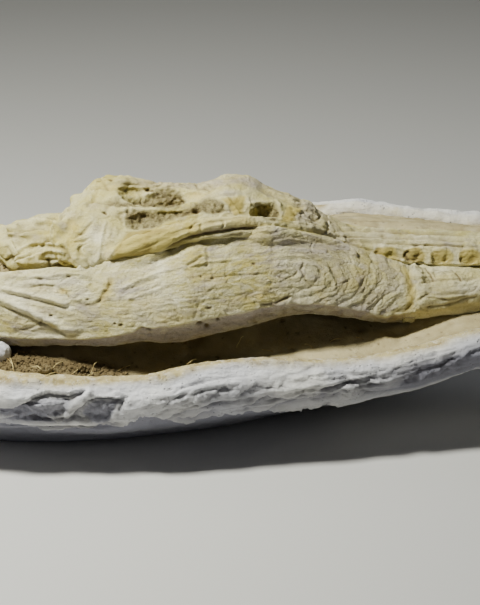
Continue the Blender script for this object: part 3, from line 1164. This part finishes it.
def makeNearJaw():
    values = jawValues
    plugs = [*ribbon(*values["joint"]), *ribbon(*values["rearJoint"]), *frontPlugs]
    piece = fineSkin("near_jaw", [*values["nodes"], "dentary"], values, nearJawHidden, plugs=plugs)
    work = Sculpture(piece)
    right, down = work.picture[:, 0], work.picture[:, 1]
    fan = eased(225, 330, right)
    roughened(work, values)
    border, value, lean, _ = growthScales(work, work.picture, jawSpine, *values["scales"])
    ripple = growthScales(work, work.picture, jawSpine, *values["ripples"])[3]
    plates = 0.35 + 0.65 * np.maximum(fan, 0.8 * eased(0.05, 0.45, work.noise(24.0, 2, 91)))
    work.push((value + lean) * values["plateHeight"] * plates * work.facing)
    uneven = 0.4 + 1.2 * eased(-0.3, 0.4, work.noise(50.0, 2, 93))
    work.push(ripple * (0.0001 + values["rippleHeight"] * fan) * uneven * work.facing)
    cracks = eased(0.14, 0.02, border) * plates
    work.push(-cracks * values["crackDepth"] * work.facing)
    work.paint("dirt", cracks * work.facing, 0.14)
    work.paint("mauve", eased(0.1, 0.5, value) * work.facing, 0.45)
    work.paint("pale", eased(-0.1, -0.5, value) * work.facing, 0.45)
    _, fineValue, fineLean, _ = growthScales(work, work.picture, jawSpine, *values["fineScales"])
    work.push((fineValue * values["fineHeight"] + fineLean * values["fineLean"]) * work.facing)
    below = down - (lineAt(lowerEdge, right) + work.noise(60.0, 2, 92) * 2.0)
    under = eased(0.0, 3.0, below) * work.facing
    work.push(np.exp(-(below / 2.0) ** 2) * work.facing * values["edgeRoll"] - under * values["edgeFall"])
    band = eased(0.0, 3.0, below) * (work.normals[:, 1] < 0.3)
    work.push(band * (layeredNoise(work.start * np.array((0.4, 1.0, 1.0)), 130.0, 3, 97) * values["underside"]))
    work.paint("mauve", band, 0.6)
    work.paint("dirt", eased(0.0, 13.0, below) * band * eased(90, 170, right), 0.42)
    work.paint("dirt", band * eased(0.0, 0.4, work.noise(90.0, 3, 98)), 0.25)
    # The front end thins out to meet the dentary
    work.push(-eased(0.050, 0.094, work.start[:, 0]) * values["frontFall"])
    carve(work, jawStrokes)
    places = work.wobbled(1.2, 0.01)
    sinkPits(work, jawPits, places, 0.8)
    lump = spotField(places, (194, 257), (14, 10), -10) * work.facing
    work.push(lump * values["lump"])
    seam = strokeField(places, [(113, 277), (109, 287), (103, 296), (99, 303)], 4.0) * work.facing
    work.push(seam * work.noise(260.0, 2, 95) * values["seam"])
    work.paint("fill", seam, 0.7)
    suture = strokeField(places, [(402, 262), (408, 276), (413, 292), (410, 306), (402, 316)], 3.4) * work.facing
    work.paint("fill", suture, 0.9)
    stain(work, jawStains)
    cloudy(work, 1.1)
    weathered(work, 0.75)
    work.roundEnd(work.start[:, 0].min(), *jawValues["rearEnd"])
    work.finish()
    return settle(piece, bone, "bone", *values["nodes"])


makeNearJaw()


# The joined front of the lower jaw
frontValues = {
    "voxel": 0.0013, "rounds": 12, "lumpScale": 34.0, "lumps": 0.0032, "chipScale": 80.0, "chips": 0.0014,
    "gritScale": 330.0, "grit": 0.0005, "fibreStretch": (16.0, 230.0, 230.0), "fibre": 0.0009, "creaseScale": 46.0,
    "crease": 0.0012, "clip": ("X", 0.070, 0.600), "unseenShare": 0.15, "rearFall": 0.0050, "bumps": 0.0022,
}
frontStrokes = [
    *bundle([(416, 284), (448, 283), (479, 281)], 6, 26.0, 1.2, 1.3, 0.12, 31),
    ([(402, 262), (408, 276), (414, 292), (411, 306), (403, 318)], 1.8, 1.2, 0.3),
    ([(418, 283), (440, 280), (479, 278)], 1.0, 1.0, 0.4),
    ([(420, 296), (448, 300), (470, 296)], 1.0, 1.0, 0.5),
    ([(424, 268), (430, 274), (434, 281)], 1.0, 1.4, 0.6),
    ([(455, 273), (459, 278), (462, 282)], 0.9, 1.2, 0.6),
    ([(424, 308), (450, 304), (479, 296)], 1.2, 1.2, 0.5),
]
frontStains = {
    "ochre": [((411, 298), (6, 16), -8, 0.9), ((440, 277), (24, 4), 0, 0.35), ((455, 306), (24, 4), -8, 0.4),
              ((425, 312), (16, 4), -8, 0.5)],
    "mauve": [((458, 290), (26, 6), -2, 0.5), ((430, 288), (16, 8), 0, 0.35), ((440, 318), (40, 4), -8, 0.6)],
    "pale": [((468, 286), (16, 8), -4, 0.8), ((440, 269), (26, 3.5), 0, 0.5), ((440, 303), (22, 2.5), -6, 0.4)],
}


def frontJawHidden(points, normals):
    return (normals[:, 2] < -0.3) | ((normals[:, 2] > 0.8) & (np.abs(points[:, 1]) < 0.024))


def makeFrontJaw():
    values = frontValues
    piece = fineSkin("front_jaw", ["dentary", "mandible_ramus_right"], values, frontJawHidden, plugs=frontPlugs)
    work = Sculpture(piece)
    roughened(work, values)
    work.push(-eased(0.100, 0.074, work.start[:, 0]) * values["rearFall"])
    bumps = toothWave(work, 1.2)
    upper = eased(0.176, 0.186, work.start[:, 2] + (work.start[:, 0] - 0.1) * 0.055)
    sides = eased(0.3, 0.7, np.abs(work.normals[:, 1]))
    work.push(bumps * upper * sides * values["bumps"])
    work.paint("pale", bumps * upper * sides, 0.35)
    carve(work, frontStrokes)
    suture = strokeField(work.wobbled(1.4, 0.012), [(404, 262), (409, 276), (414, 292), (411, 306), (403, 316)], 3.6)
    work.paint("fill", suture * work.facing, 0.9)
    stain(work, frontStains)
    cloudy(work, 1.0)
    weathered(work, 1.1)
    work.finish()
    return settle(piece, bone, "bone", "dentary")


makeFrontJaw()


# The far half of the lower jaw, mostly out of the camera's sight
farJawValues = {
    "voxel": 0.0016, "rounds": 12, "lumpScale": 26.0, "lumps": 0.0026, "chipScale": 95.0, "chips": 0.0014,
    "gritScale": 330.0, "grit": 0.0005, "fibreStretch": (22.0, 190.0, 190.0), "fibre": 0.0005, "creaseScale": 36.0,
    "crease": 0.0008, "unseenShare": 0.3, "nodes": ["articular_left", "mandible_ramus_left"],
    "plateHeight": 0.0006, "seam": 0.0012,
}
farSpine = [(-409, -132), (-300, -136), (-218, -139), (-43, -150)]
stepsPerMetre = 870  # of the picture, at the skull


def makeFarJaw():
    values = farJawValues
    piece = fineSkin("far_jaw", values["nodes"], values, lambda points, normals: normals[:, 1] < -0.1)
    work = Sculpture(piece)
    roughened(work, values)
    places = np.stack((work.start[:, 0], -work.start[:, 2]), axis=1) * stepsPerMetre
    border, value, lean, crest = growthScales(work, places, farSpine, *jawValues["scales"])
    outer = eased(0.0, 0.3, work.normals[:, 1])
    work.push((value + lean + crest) * values["plateHeight"] * outer)
    cracks = eased(0.14, 0.02, border) * outer
    work.push(-cracks * jawValues["crackDepth"])
    work.paint("dirt", cracks, 0.08)
    work.paint("mauve", eased(0.1, 0.5, value) * outer, 0.4)
    seam = np.exp(-((work.start[:, 0] + 0.256 + work.noise(40.0, 3, 12) * 0.012) / 0.0035) ** 2)
    work.push(-seam * values["seam"])
    work.paint("fill", seam, 0.9)
    cloudy(work)
    weathered(work, 0.7)
    work.roundEnd(work.start[:, 0].min(), *jawValues["rearEnd"])
    work.finish()
    return settle(piece, bone, "bone", *values["nodes"])


makeFarJaw()


# The plaster jacket: a smooth hull, torn layers over it and folds that the wet cloth made
jacketValues = {
    "nearVoxel": 0.0019, "farVoxel": 0.0030, "rounds": 22, "grow": 0.0008, "layer": 0.0055, "waves": 0.0030,
    "folds": 0.0030, "streaks": 0.0030, "threads": 0.0013, "unseenShare": 0.06, "grit": 0.0014, "farLumps": 0.0034,
    "rimPits": 0.0012, "rimLumps": 0.0016, "wrinkles": 0.0030, "pocketGrit": 0.0040, "pocketSink": 0.0024,
}
nearRim = [(-60, 377), (0, 379.3), (67, 382.7), (113, 379.3), (160, 377.7), (180, 372), (200, 365.3), (217, 361.3),
           (247, 359.3), (267, 362.7), (333, 361.3), (383, 357), (400, 352), (433, 343.7), (467, 334.7), (540, 316)]
tornEdge = [(-60, 424), (0, 424), (25, 425), (43, 428.6), (58, 430), (72, 428), (85, 427.5), (98, 425), (110, 424),
            (124, 423), (141, 416), (160, 418), (173, 422), (187, 424), (198, 419.5), (212, 415), (224, 414.5),
            (245, 411), (260, 409), (275, 413), (300, 409), (330, 403), (345, 406), (362, 403), (385, 396), (420, 389),
            (450, 378), (480, 370), (540, 356)]
# Edges of cloth that stand over what lies below them: path, drop in millimetres and reach in picture steps
jacketLedges = [
    ([(-10, 408), (8, 409), (17, 407), (26, 402.5), (34.5, 396), (48, 392), (60, 393), (69, 394.5), (86, 390)],
     10.0, 10),
    ([(70, 415), (80, 408), (87, 401), (99, 398), (109, 396.7), (116, 398.5), (126, 396)], 9.0, 9),
    ([(209, 395), (215, 393), (223, 386), (229, 388.5), (234, 385)], 3.5, 5),
    ([(238, 394), (246, 390), (255, 384), (264, 386), (275, 386)], 3.0, 5),
    ([(243, 405), (251, 402), (259, 399), (267, 395.4), (286, 397), (303, 392), (321, 389.5), (340, 384)], 4.0, 5),
    ([(258, 410), (286, 401), (309, 397), (340, 391)], 3.4, 4),
    ([(150, 424), (160, 420), (174, 414), (190, 410), (206, 404), (224, 400)], 3.4, 5),
    ([(176, 418), (192, 418), (204, 413), (218, 408)], 2.6, 4),
    ([(320, 391), (335, 385), (350, 380), (366, 378), (379, 373)], 3.6, 5),
    ([(335, 393), (350, 388), (361, 384), (383, 381)], 3.2, 4),
    ([(384, 392), (404, 385), (430, 377), (450, 366)], 3.0, 4),
    ([(400, 381), (410, 377), (422, 369), (448, 360), (484, 348)], 3.6, 5),
    ([(388, 373), (404, 364), (420, 357), (440, 350)], 2.0, 4),
    ([(282, 377), (300, 371), (316, 366)], 1.6, 4),
    ([(20, 419), (34, 416), (48, 418), (60, 422), (72, 417)], 3.6, 5),
    ([(80, 424), (92, 422), (104, 420), (116, 422)], 3.4, 4),
]
jacketStrokes = [
    ([(64, 415), (73.5, 404), (84, 397), (93, 390)], 3.2, -4.5, 0.0),
    ([(0, 402), (12, 403), (24, 397)], 2.6, -2.5, 0.0),
    ([(118, 412), (123, 403), (129, 396)], 1.2, 2.5, 0.3),
    ([(128, 424), (136, 419), (143, 415)], 1.4, -3.0, 0.0),
    ([(244, 402), (252, 399), (260, 395.5)], 1.4, -2.2, 0.0),
    ([(268, 394), (288, 394), (304, 389.5)], 1.4, -2.0, 0.0),
    ([(318, 392), (333, 391), (345, 386), (360, 384)], 1.8, -3.2, 0.0),
    ([(410, 380), (430, 372), (452, 362), (470, 353)], 1.4, -2.4, 0.0),
    *bundle([(130, 408), (170, 402), (215, 392), (250, 386)], 7, 26.0, 1.2, 1.8, 0.15, 61),
    *bundle([(180, 412), (230, 404), (280, 396), (330, 388)], 9, 24.0, 1.1, 2.0, 0.20, 62),
    *bundle([(260, 404), (320, 392), (370, 384), (420, 374)], 9, 22.0, 1.1, 2.0, 0.20, 63),
    *bundle([(350, 388), (400, 376), (440, 364), (490, 348)], 9, 22.0, 1.1, 2.0, 0.20, 64),
    *bundle([(0, 420), (40, 424), (90, 422), (140, 416)], 5, 10.0, 1.4, 2.4, 0.20, 65),
]
foldPockets = [
    [(14, 411), (30, 402), (46, 396), (66, 398), (72, 402), (66, 411), (56, 417), (38, 414)],
    [(0, 412), (16, 412), (32, 411), (46, 415), (52, 420), (30, 421), (0, 419)],
    [(82, 414), (88, 405), (100, 401), (118, 401), (114, 412), (108, 420), (92, 420)],
]


def jacketHidden(points, normals):
    inward = normals[:, 1] * np.sign(points[:, 1]) < 0.2
    deep = points[:, 2] < np.interp(points[:, 0], (-0.5, 0.1, 0.5), (0.088, 0.098, 0.118))
    cut = (np.abs(points[:, 1]) < 0.012) & (np.abs(normals[:, 1]) > 0.9)
    return (inward & deep) | (points[:, 2] < 0.004) | cut


def nearWall(work, values, layered):
    # The near wall is shaped on the picture, where its streaks run along with the rim
    near = eased(0.0, -0.03, work.start[:, 1]) * work.facing
    places = work.wobbled(2.2, 0.016)
    below = places[:, 1] - lineAt(nearRim, places[:, 0])
    drift = work.noise(12.0, 2, 301) * 14.0
    streakPlace = np.stack((places[:, 0] / 34.0, (below + drift) / 5.0, np.full(len(below), 0.5)), axis=1)
    threadPlace = np.stack((places[:, 0] / 15.0, (below + drift) / 2.6, np.full(len(below), 0.5)), axis=1)
    start = np.interp(places[:, 0], (120, 200, 330, 420), (8.0, 9.0, 3.0, 1.0))
    rough = eased(start, start + 9.0, below) * near * layered
    rimPits = eased(0.28, 0.55, softNoise(work.start * 90.0, 321)) * near
    work.push(-rimPits * values["rimPits"])
    work.push(layeredNoise(work.start * np.array((0.5, 1.0, 1.0)), 60.0, 2, 323) * values["rimLumps"] * near)
    patchy = 0.35 + 0.9 * eased(-0.25, 0.3, work.noise(16.0, 2, 305))
    streak = ridgedNoise(streakPlace, 1.0, 2, 307) - 0.5
    thread = ridgedNoise(threadPlace, 1.0, 2, 311) - 0.5
    work.push((streak * values["streaks"] + thread * values["threads"]) * rough * patchy)
    work.paint("dirt", eased(0.0, -0.35, streak) * rough * patchy, 0.30)
    work.paint("dirt", eased(0.05, -0.3, thread) * rough * patchy, 0.16)
    work.paint("mauve", eased(14.0, 46.0, below) * near, 0.5)
    work.paint("mauve", eased(4.0, 22.0, below) * eased(330, 440, places[:, 0]) * near, 0.9)
    work.paint("dirt", eased(12.0, 34.0, below) * eased(300, 440, places[:, 0]) * near, 0.22)
    work.paint("ochre", eased(10.0, 1.0, below) * (0.75 + 0.8 * work.noise(46.0, 3, 327)) * near, 0.95)
    spill = eased(10.0, -6.0, below) * eased(300, 180, places[:, 0]) * eased(0.0, -0.02, work.start[:, 1])
    work.paint("ochre", spill * eased(-0.25, 0.2, work.noise(70.0, 3, 325)), 0.9)
    for path, drop, reach in jacketLedges:
        under = ledgeField(places, path, reach) * near
        work.push(-under * drop * 0.001)
        work.paint("mauve", under, 0.35)
        work.paint("dirt", under ** 2, 0.25)
    pockets = sum(patchField(places, outline, 2.0) for outline in foldPockets).clip(0, 1) * near
    wrinkled = ridgedNoise(work.start * np.array((110.0, 150.0, 190.0)), 1.0, 2, 37) - 0.5
    coarse = work.noise(170.0, 3, 39)
    work.push(pockets * (wrinkled * values["wrinkles"] + coarse * values["pocketGrit"] - values["pocketSink"]))
    work.paint("mauve", pockets, 0.6)
    work.paint("dirt", pockets * eased(0.0, 0.4, coarse + wrinkled * 0.3), 0.25)
    carve(work, jacketStrokes, near)


def makeJacket(name, side, voxel):
    # The two halves overlap by a few millimetres in the middle, where the bed hides them
    values = dict(jacketValues, voxel=voxel, clip=("Y", -0.3, 0.004) if side < 0 else ("Y", -0.004, 0.3))
    piece = fineSkin(name, ["plaster_jacket"], values, jacketHidden)
    work = Sculpture(piece)
    start, normals = work.start, work.normals
    x, y, z = start.T
    outward = eased(0.0, 0.5, normals[:, 1] * np.sign(y) + 0.3 * np.abs(normals[:, 0])) * eased(0.006, 0.02, np.abs(y))
    clear = eased(0.003, 0.012, z)  # the foot stays flat
    # Layers of bandage stop at a torn edge above the smooth hull
    nearEdge = lineAt(tornEdge, work.picture[:, 0]) + work.noise(90.0, 3, 3) * 3.5
    aroundEdge = 0.026 + 0.10 * np.clip(x / 0.5, 0, 1) + work.noise(18.0, 3, 5) * 0.016
    if side < 0:
        above = eased(0.8, -0.8, work.picture[:, 1] - nearEdge)
    else:
        above = eased(-0.0015, 0.0015, z - aroundEdge)
    layered = above * outward * clear
    work.push((layered - 0.6) * values["layer"] * outward * clear)
    folds = ridgedNoise(start * np.array((9.0, 30.0, 40.0)), 1.0, 3, 11) - 0.55
    work.push(folds * values["folds"] * layered)
    work.push(work.noise(14.0, 3, 23) * values["waves"] * clear)
    work.push(work.noise(90.0, 3, 29) * values["grit"] * clear)
    if side < 0:
        nearWall(work, values, layered)
    else:
        streaks = ridgedNoise(start * np.array((26.0, 90.0, 150.0)), 1.0, 2, 17) - 0.5
        work.push(streaks * values["streaks"] * layered)
        work.push(work.noise(55.0, 2, 331) * values["farLumps"] * clear)
    work.paint("mauve", (1 - layered) * outward, 0.85)
    # Sandy dust lies along the inner side of the rim
    inner = eased(0.3, -0.4, normals[:, 1] * np.sign(y)) * eased(0.05, 0.2, normals[:, 2] + 0.4)
    cloud = eased(-0.2, 0.5, work.noise(40.0, 4, 43))
    work.paint("ochre", inner * (0.35 + 0.55 * cloud))
    work.paint("ochre", eased(0.80, 1.0, normals[:, 2]) * cloud * clear, 0.35)
    hollow = work.hollows(4, 420.0)
    work.paint("dirt", np.clip(hollow - 0.10, 0, 1) * outward, 0.4)
    work.finish()
    return settle(piece, plaster, "plaster", *(["plaster_jacket"] if side < 0 else []))


makeJacket("jacket_near", -1, jacketValues["nearVoxel"])
makeJacket("jacket_far", 1, jacketValues["farVoxel"])


# The rounded plaster prop under the jaw's rear end
propValues = {"voxel": 0.0012, "rounds": 10, "lump": ((-0.377, -0.127, 0.122), (0.020, 0.014, 0.015)), "waves": 0.0016}


def makeProp():
    piece = fineSkin("rear_prop_skin", ["rear_prop"], propValues, plugs=[ellipsoid(*propValues["lump"])])
    work = Sculpture(piece)
    work.push(work.noise(60.0, 4, 3) * propValues["waves"])
    work.finish()
    return settle(piece, plaster, "plaster", "rear_prop")


makeProp()


# The sediment: firm and smooth on the ledge, loose and crumbly at the near rear rim
bedValues = {
    "voxel": 0.0024, "rounds": 14, "grow": 0.0, "unseenShare": 0.06, "waves": 0.0022, "grit": 0.0011, "crumble": 0.0050,
    "pits": 0.0012, "farLumps": 0.0020, "rim": ((-0.5, 0.0, 0.5), (0.185, 0.145, 0.07)),
}
crumblyOutline = [(-60, 352), (20, 352), (60, 360), (100, 364), (128, 370), (128, 384), (60, 388), (-60, 388)]
troughOutline = [(-60, 330), (0, 340), (140, 328), (214, 316), (290, 300), (386, 316), (420, 310), (436, 312),
                 (400, 326), (361, 335), (336, 343), (300, 347), (270, 349), (242, 357), (196, 364), (161, 372),
                 (95, 372), (49, 364), (-60, 364)]


def bedHidden(points, normals):
    return (normals[:, 2] < -0.2) | (points[:, 2] < 0.075)


def makeBed():
    values = bedValues
    piece = fineSkin("sediment", ["sediment_bed"], values, bedHidden)
    work = Sculpture(piece)
    start = work.start
    top = eased(0.1, 0.5, work.normals[:, 2])
    near, far = start[:, 1] < 0, start[:, 1] > 0
    loose = patchField(work.wobbled(6.0, 0.03), crumblyOutline, 6.0) * near
    rear = eased(-0.30, -0.42, start[:, 0] + 0.04 * work.noise(14.0, 3, 51))
    loose = np.maximum(loose, rear * 0.8)
    work.push(work.noise(22.0, 3, 3) * values["waves"] * top)
    work.push(work.noise(240.0, 3, 9) * values["grit"] * top)
    border, size, _ = cellNoise(start, 130.0, 4)
    work.push((eased(0.0, 0.4, border) - 0.6 + 0.6 * size) * values["crumble"] * loose * top * 0.6)
    work.push(work.noise(110.0, 3, 13) * values["crumble"] * loose * top)
    pits = eased(0.50, 0.62, softNoise(start * 170.0, 14)) * top
    work.push(-pits * values["pits"])
    work.paint("dirt", pits, 0.7)
    work.paint("gritty", loose * top)
    work.paint("dirt", loose * near * (start[:, 0] > -0.44), 0.72)
    work.paint("dirt", far * eased(0.0, 0.3, work.noise(52.0, 3, 29)), 0.22)
    trough = patchField(work.wobbled(4.0, 0.02), troughOutline, 5.0) * near
    work.paint("dirt", trough * (0.8 + 0.4 * work.noise(50.0, 3, 21)), 0.75)
    work.push(work.noise(70.0, 3, 23) * values["farLumps"] * top * far)
    work.paint("pale", eased(0.0, 0.3, work.noise(38.0, 4, 25)) * far, 0.6)
    work.paint("dirt", eased(0.05, 0.4, work.noise(30.0, 4, 27)), 0.25)
    byRim = eased(0.02, 0.0, np.abs(np.abs(start[:, 1]) - np.interp(start[:, 0], *values["rim"])))
    work.paint("pale", byRim * eased(0.0, 0.4, work.noise(60.0, 3, 19)), 0.4)
    work.finish()
    crumbShare = piece.data.attributes.new("loose", "FLOAT", "POINT")
    crumbShare.data.foreach_set("value", loose * eased(0.3, 0.7, work.normals[:, 2]))
    return settle(piece, sediment, "sediment", "sediment_bed")


bed = makeBed()


# Crumbs of sediment, scattered by a node tree over the loose parts of the bed
crumbValues = {"Density": 80000.0, "Smallest": 0.0006, "Largest": 0.0022, "Seed": 11}


def geometryTree(name, inputs):
    tree = bpy.data.node_groups.new(name, "GeometryNodeTree")
    tree.interface.new_socket(name="Geometry", in_out="INPUT", socket_type="NodeSocketGeometry")
    tree.interface.new_socket(name="Geometry", in_out="OUTPUT", socket_type="NodeSocketGeometry")
    for key, kind in inputs:
        tree.interface.new_socket(name=key, in_out="INPUT", socket_type=kind)
    return tree, tree.nodes.new("NodeGroupInput"), tree.nodes.new("NodeGroupOutput")


def dressedTree(tree, last, end, finish):
    # Every tree ends in real meshes with their material
    real = addNode(tree, "GeometryNodeRealizeInstances", {0: last.outputs[0]})
    dressed = addNode(tree, "GeometryNodeSetMaterial", {"Geometry": real.outputs[0], "Material": finish})
    tree.links.new(dressed.outputs[0], end.inputs[0])
    return tree


def crumbTree(finish):
    kinds = [("Density", "NodeSocketFloat"), ("Smallest", "NodeSocketFloat"), ("Largest", "NodeSocketFloat"),
             ("Seed", "NodeSocketInt")]
    tree, start, end = geometryTree("crumbs", kinds)
    loose = addNode(tree, "GeometryNodeInputNamedAttribute", {"Name": "loose"}, data_type="FLOAT")
    share = mathNode(tree, "MULTIPLY", loose.outputs["Attribute"], start.outputs["Density"])
    scatter = addNode(tree, "GeometryNodeDistributePointsOnFaces", {
        "Mesh": start.outputs["Geometry"], "Density": share, "Seed": start.outputs["Seed"]}, distribute_method="RANDOM")
    lump = addNode(tree, "GeometryNodeMeshIcoSphere", {"Radius": 1.0, "Subdivisions": 1})
    knocks = swayNode(tree, addNode(tree, "GeometryNodeInputPosition").outputs[0], 1.3, 1.5)
    shaped = addNode(tree, "GeometryNodeSetPosition", {"Geometry": lump.outputs["Mesh"], "Offset": knocks})
    size = addNode(tree, "FunctionNodeRandomValue", {"Min": start.outputs["Smallest"], "Max": start.outputs["Largest"],
                                                     "Seed": start.outputs["Seed"]}, data_type="FLOAT")
    turn = addNode(tree, "FunctionNodeRandomValue", {"Seed": 5}, data_type="FLOAT_VECTOR")
    turn.inputs["Max"].default_value = (math.tau, math.tau, math.tau)
    placed = addNode(tree, "GeometryNodeInstanceOnPoints", {
        "Points": scatter.outputs["Points"], "Instance": shaped.outputs[0], "Rotation": turn.outputs[0],
        "Scale": size.outputs[1]})
    return dressedTree(tree, placed, end, finish)


def grownPiece(name, source, tree, values):
    # A copy of the source's surface carries the tree, and becomes the plain mesh that the tree makes
    piece = bpy.data.objects.new(name, source.data.copy())
    bpy.context.scene.collection.objects.link(piece)
    modifier = piece.modifiers.new(name, "NODES")
    modifier.node_group = tree
    for item in tree.interface.items_tree:
        if item.in_out == "INPUT" and item.name in values:
            modifier[item.identifier] = values[item.name]
    applied(piece)
    piece.data.name = name
    return piece


crumbFinish = sedimentFinish("crumb", dict(sedimentValues, patchScale=200.0, bump=0.0003, sand=colour(132, 120, 84),
                                           tan=colour(104, 92, 60), pale=colour(160, 148, 110)))
settle(grownPiece("crumbs", bed, crumbTree(crumbFinish), crumbValues), crumbFinish, "sediment")


# Straws and roots caught in the sediment: start and end on the picture, and how far they arch off the ground
strawPlaces = [
    ((91, 374), (98, 365), 6), ((86, 377), (100, 374), 3), ((237, 348), (243, 339), 5), ((30, 368), (41, 371), 4),
    ((14, 372), (10, 361), 6), ((52, 370), (63, 364), 4), ((118, 371), (131, 367), 3), ((70, 376), (84, 371), 4),
    ((186, 366), (196, 361), 3), ((262, 350), (273, 353), 2), ((305, 344), (313, 349), 2), ((356, 338), (364, 341), 2),
    ((2, 358), (12, 366), 4), ((44, 377), (58, 374), 3), ((206, 361), (214, 366), 2), ((330, 342), (341, 340), 2),
]
strawValues = {"Thickness": 0.00042, "Bend": 0.0035, "Detail": 140.0}


def strawTree(finish):
    kinds = [("Thickness", "NodeSocketFloat"), ("Bend", "NodeSocketFloat"), ("Detail", "NodeSocketFloat")]
    tree, start, end = geometryTree("straws", kinds)
    place = addNode(tree, "GeometryNodeInputPosition")
    shift = swayNode(tree, place.outputs[0], start.outputs["Detail"], start.outputs["Bend"])
    bent = addNode(tree, "GeometryNodeSetPosition", {"Geometry": start.outputs["Geometry"], "Offset": shift})
    line = addNode(tree, "GeometryNodeMeshToCurve", {"Mesh": bent.outputs[0]})
    ring = addNode(tree, "GeometryNodeCurvePrimitiveCircle", {"Resolution": 6, "Radius": start.outputs["Thickness"]})
    tube = addNode(tree, "GeometryNodeCurveToMesh", {"Curve": line.outputs[0], "Profile Curve": ring.outputs[0]})
    tube.inputs["Fill Caps"].default_value = True
    return dressedTree(tree, tube, end, finish)


def makeStraws():
    verts, edges = [], []
    for first, last, lift in strawPlaces:
        low, high = seenAt(*first)[0], seenAt(*last)[0]
        for k in range(9):
            share = k / 8
            place = low.lerp(high, share) + Vector((0, 0, 0.001 * lift * math.sin(share * math.pi * 0.8)))
            if k:
                edges.append((len(verts) - 1, len(verts)))
            verts.append(place)
    mesh = bpy.data.meshes.new("lines")
    mesh.from_pydata(verts, edges, [])
    lines = bpy.data.objects.new("lines", mesh)
    finish = sedimentFinish("straw", dict(sedimentValues, patchScale=120.0, bump=0.0001, sand=colour(206, 190, 132),
                                          tan=colour(150, 126, 78), pale=colour(222, 210, 166)))
    piece = grownPiece("straws", lines, strawTree(finish), strawValues)
    bpy.data.objects.remove(lines)
    return settle(piece, finish, "sediment")


makeStraws()


# Studio: a pale floor and soft lamps, the strongest above and behind on the left
studioValues = {
    "floor": colour(198, 197, 194), "floorReach": 3.0, "sky": (0.86, 0.88, 0.92, 1.0), "skyStrength": 0.035,
    # name, place, aim, size, watts, tone
    "lamps": [
        ("key", (-0.95, -0.34, 1.52), (-0.10, -0.03, 0.16), 0.22, 58.0, (0.98, 0.985, 0.90)),
        ("front", (-0.8, -2.2, 1.2), (-0.10, 0.0, 0.12), 1.2, 1.4, (0.93, 0.96, 1.0)),
        ("right", (1.5, 0.5, 0.9), (0.1, 0.0, 0.15), 0.5, 3.0, (0.80, 0.86, 1.0)),
    ],
}


def makeStudio():
    mesh = bpy.data.meshes.new("floor")
    reach = studioValues["floorReach"]
    corners = [(-reach, -reach, 0), (reach, -reach, 0), (reach, reach, 0), (-reach, reach, 0)]
    mesh.from_pydata(corners, [], [(0, 1, 2, 3)])
    floor = bpy.data.objects.new("floor", mesh)
    bpy.context.scene.collection.objects.link(floor)
    finish = bpy.data.materials.new("floor")
    finish.use_nodes = True
    shader = finish.node_tree.nodes["Principled BSDF"]
    shader.inputs["Base Color"].default_value = studioValues["floor"]
    shader.inputs["Roughness"].default_value = 0.9
    mesh.materials.append(finish)
    for name, place, aim, size, power, tone in studioValues["lamps"]:
        data = bpy.data.lights.new(name, "AREA")
        data.size = size
        data.energy = power
        data.color = tone
        lamp = bpy.data.objects.new(name, data)
        lamp.location = place
        lamp.rotation_euler = (Vector(aim) - Vector(place)).to_track_quat("-Z", "Y").to_euler()
        bpy.context.scene.collection.objects.link(lamp)
    world = bpy.data.worlds.new("studio")
    world.use_nodes = True
    world.node_tree.nodes["Background"].inputs[0].default_value = studioValues["sky"]
    world.node_tree.nodes["Background"].inputs[1].default_value = studioValues["skyStrength"]
    bpy.context.scene.world = world


makeStudio()
print("studio made")
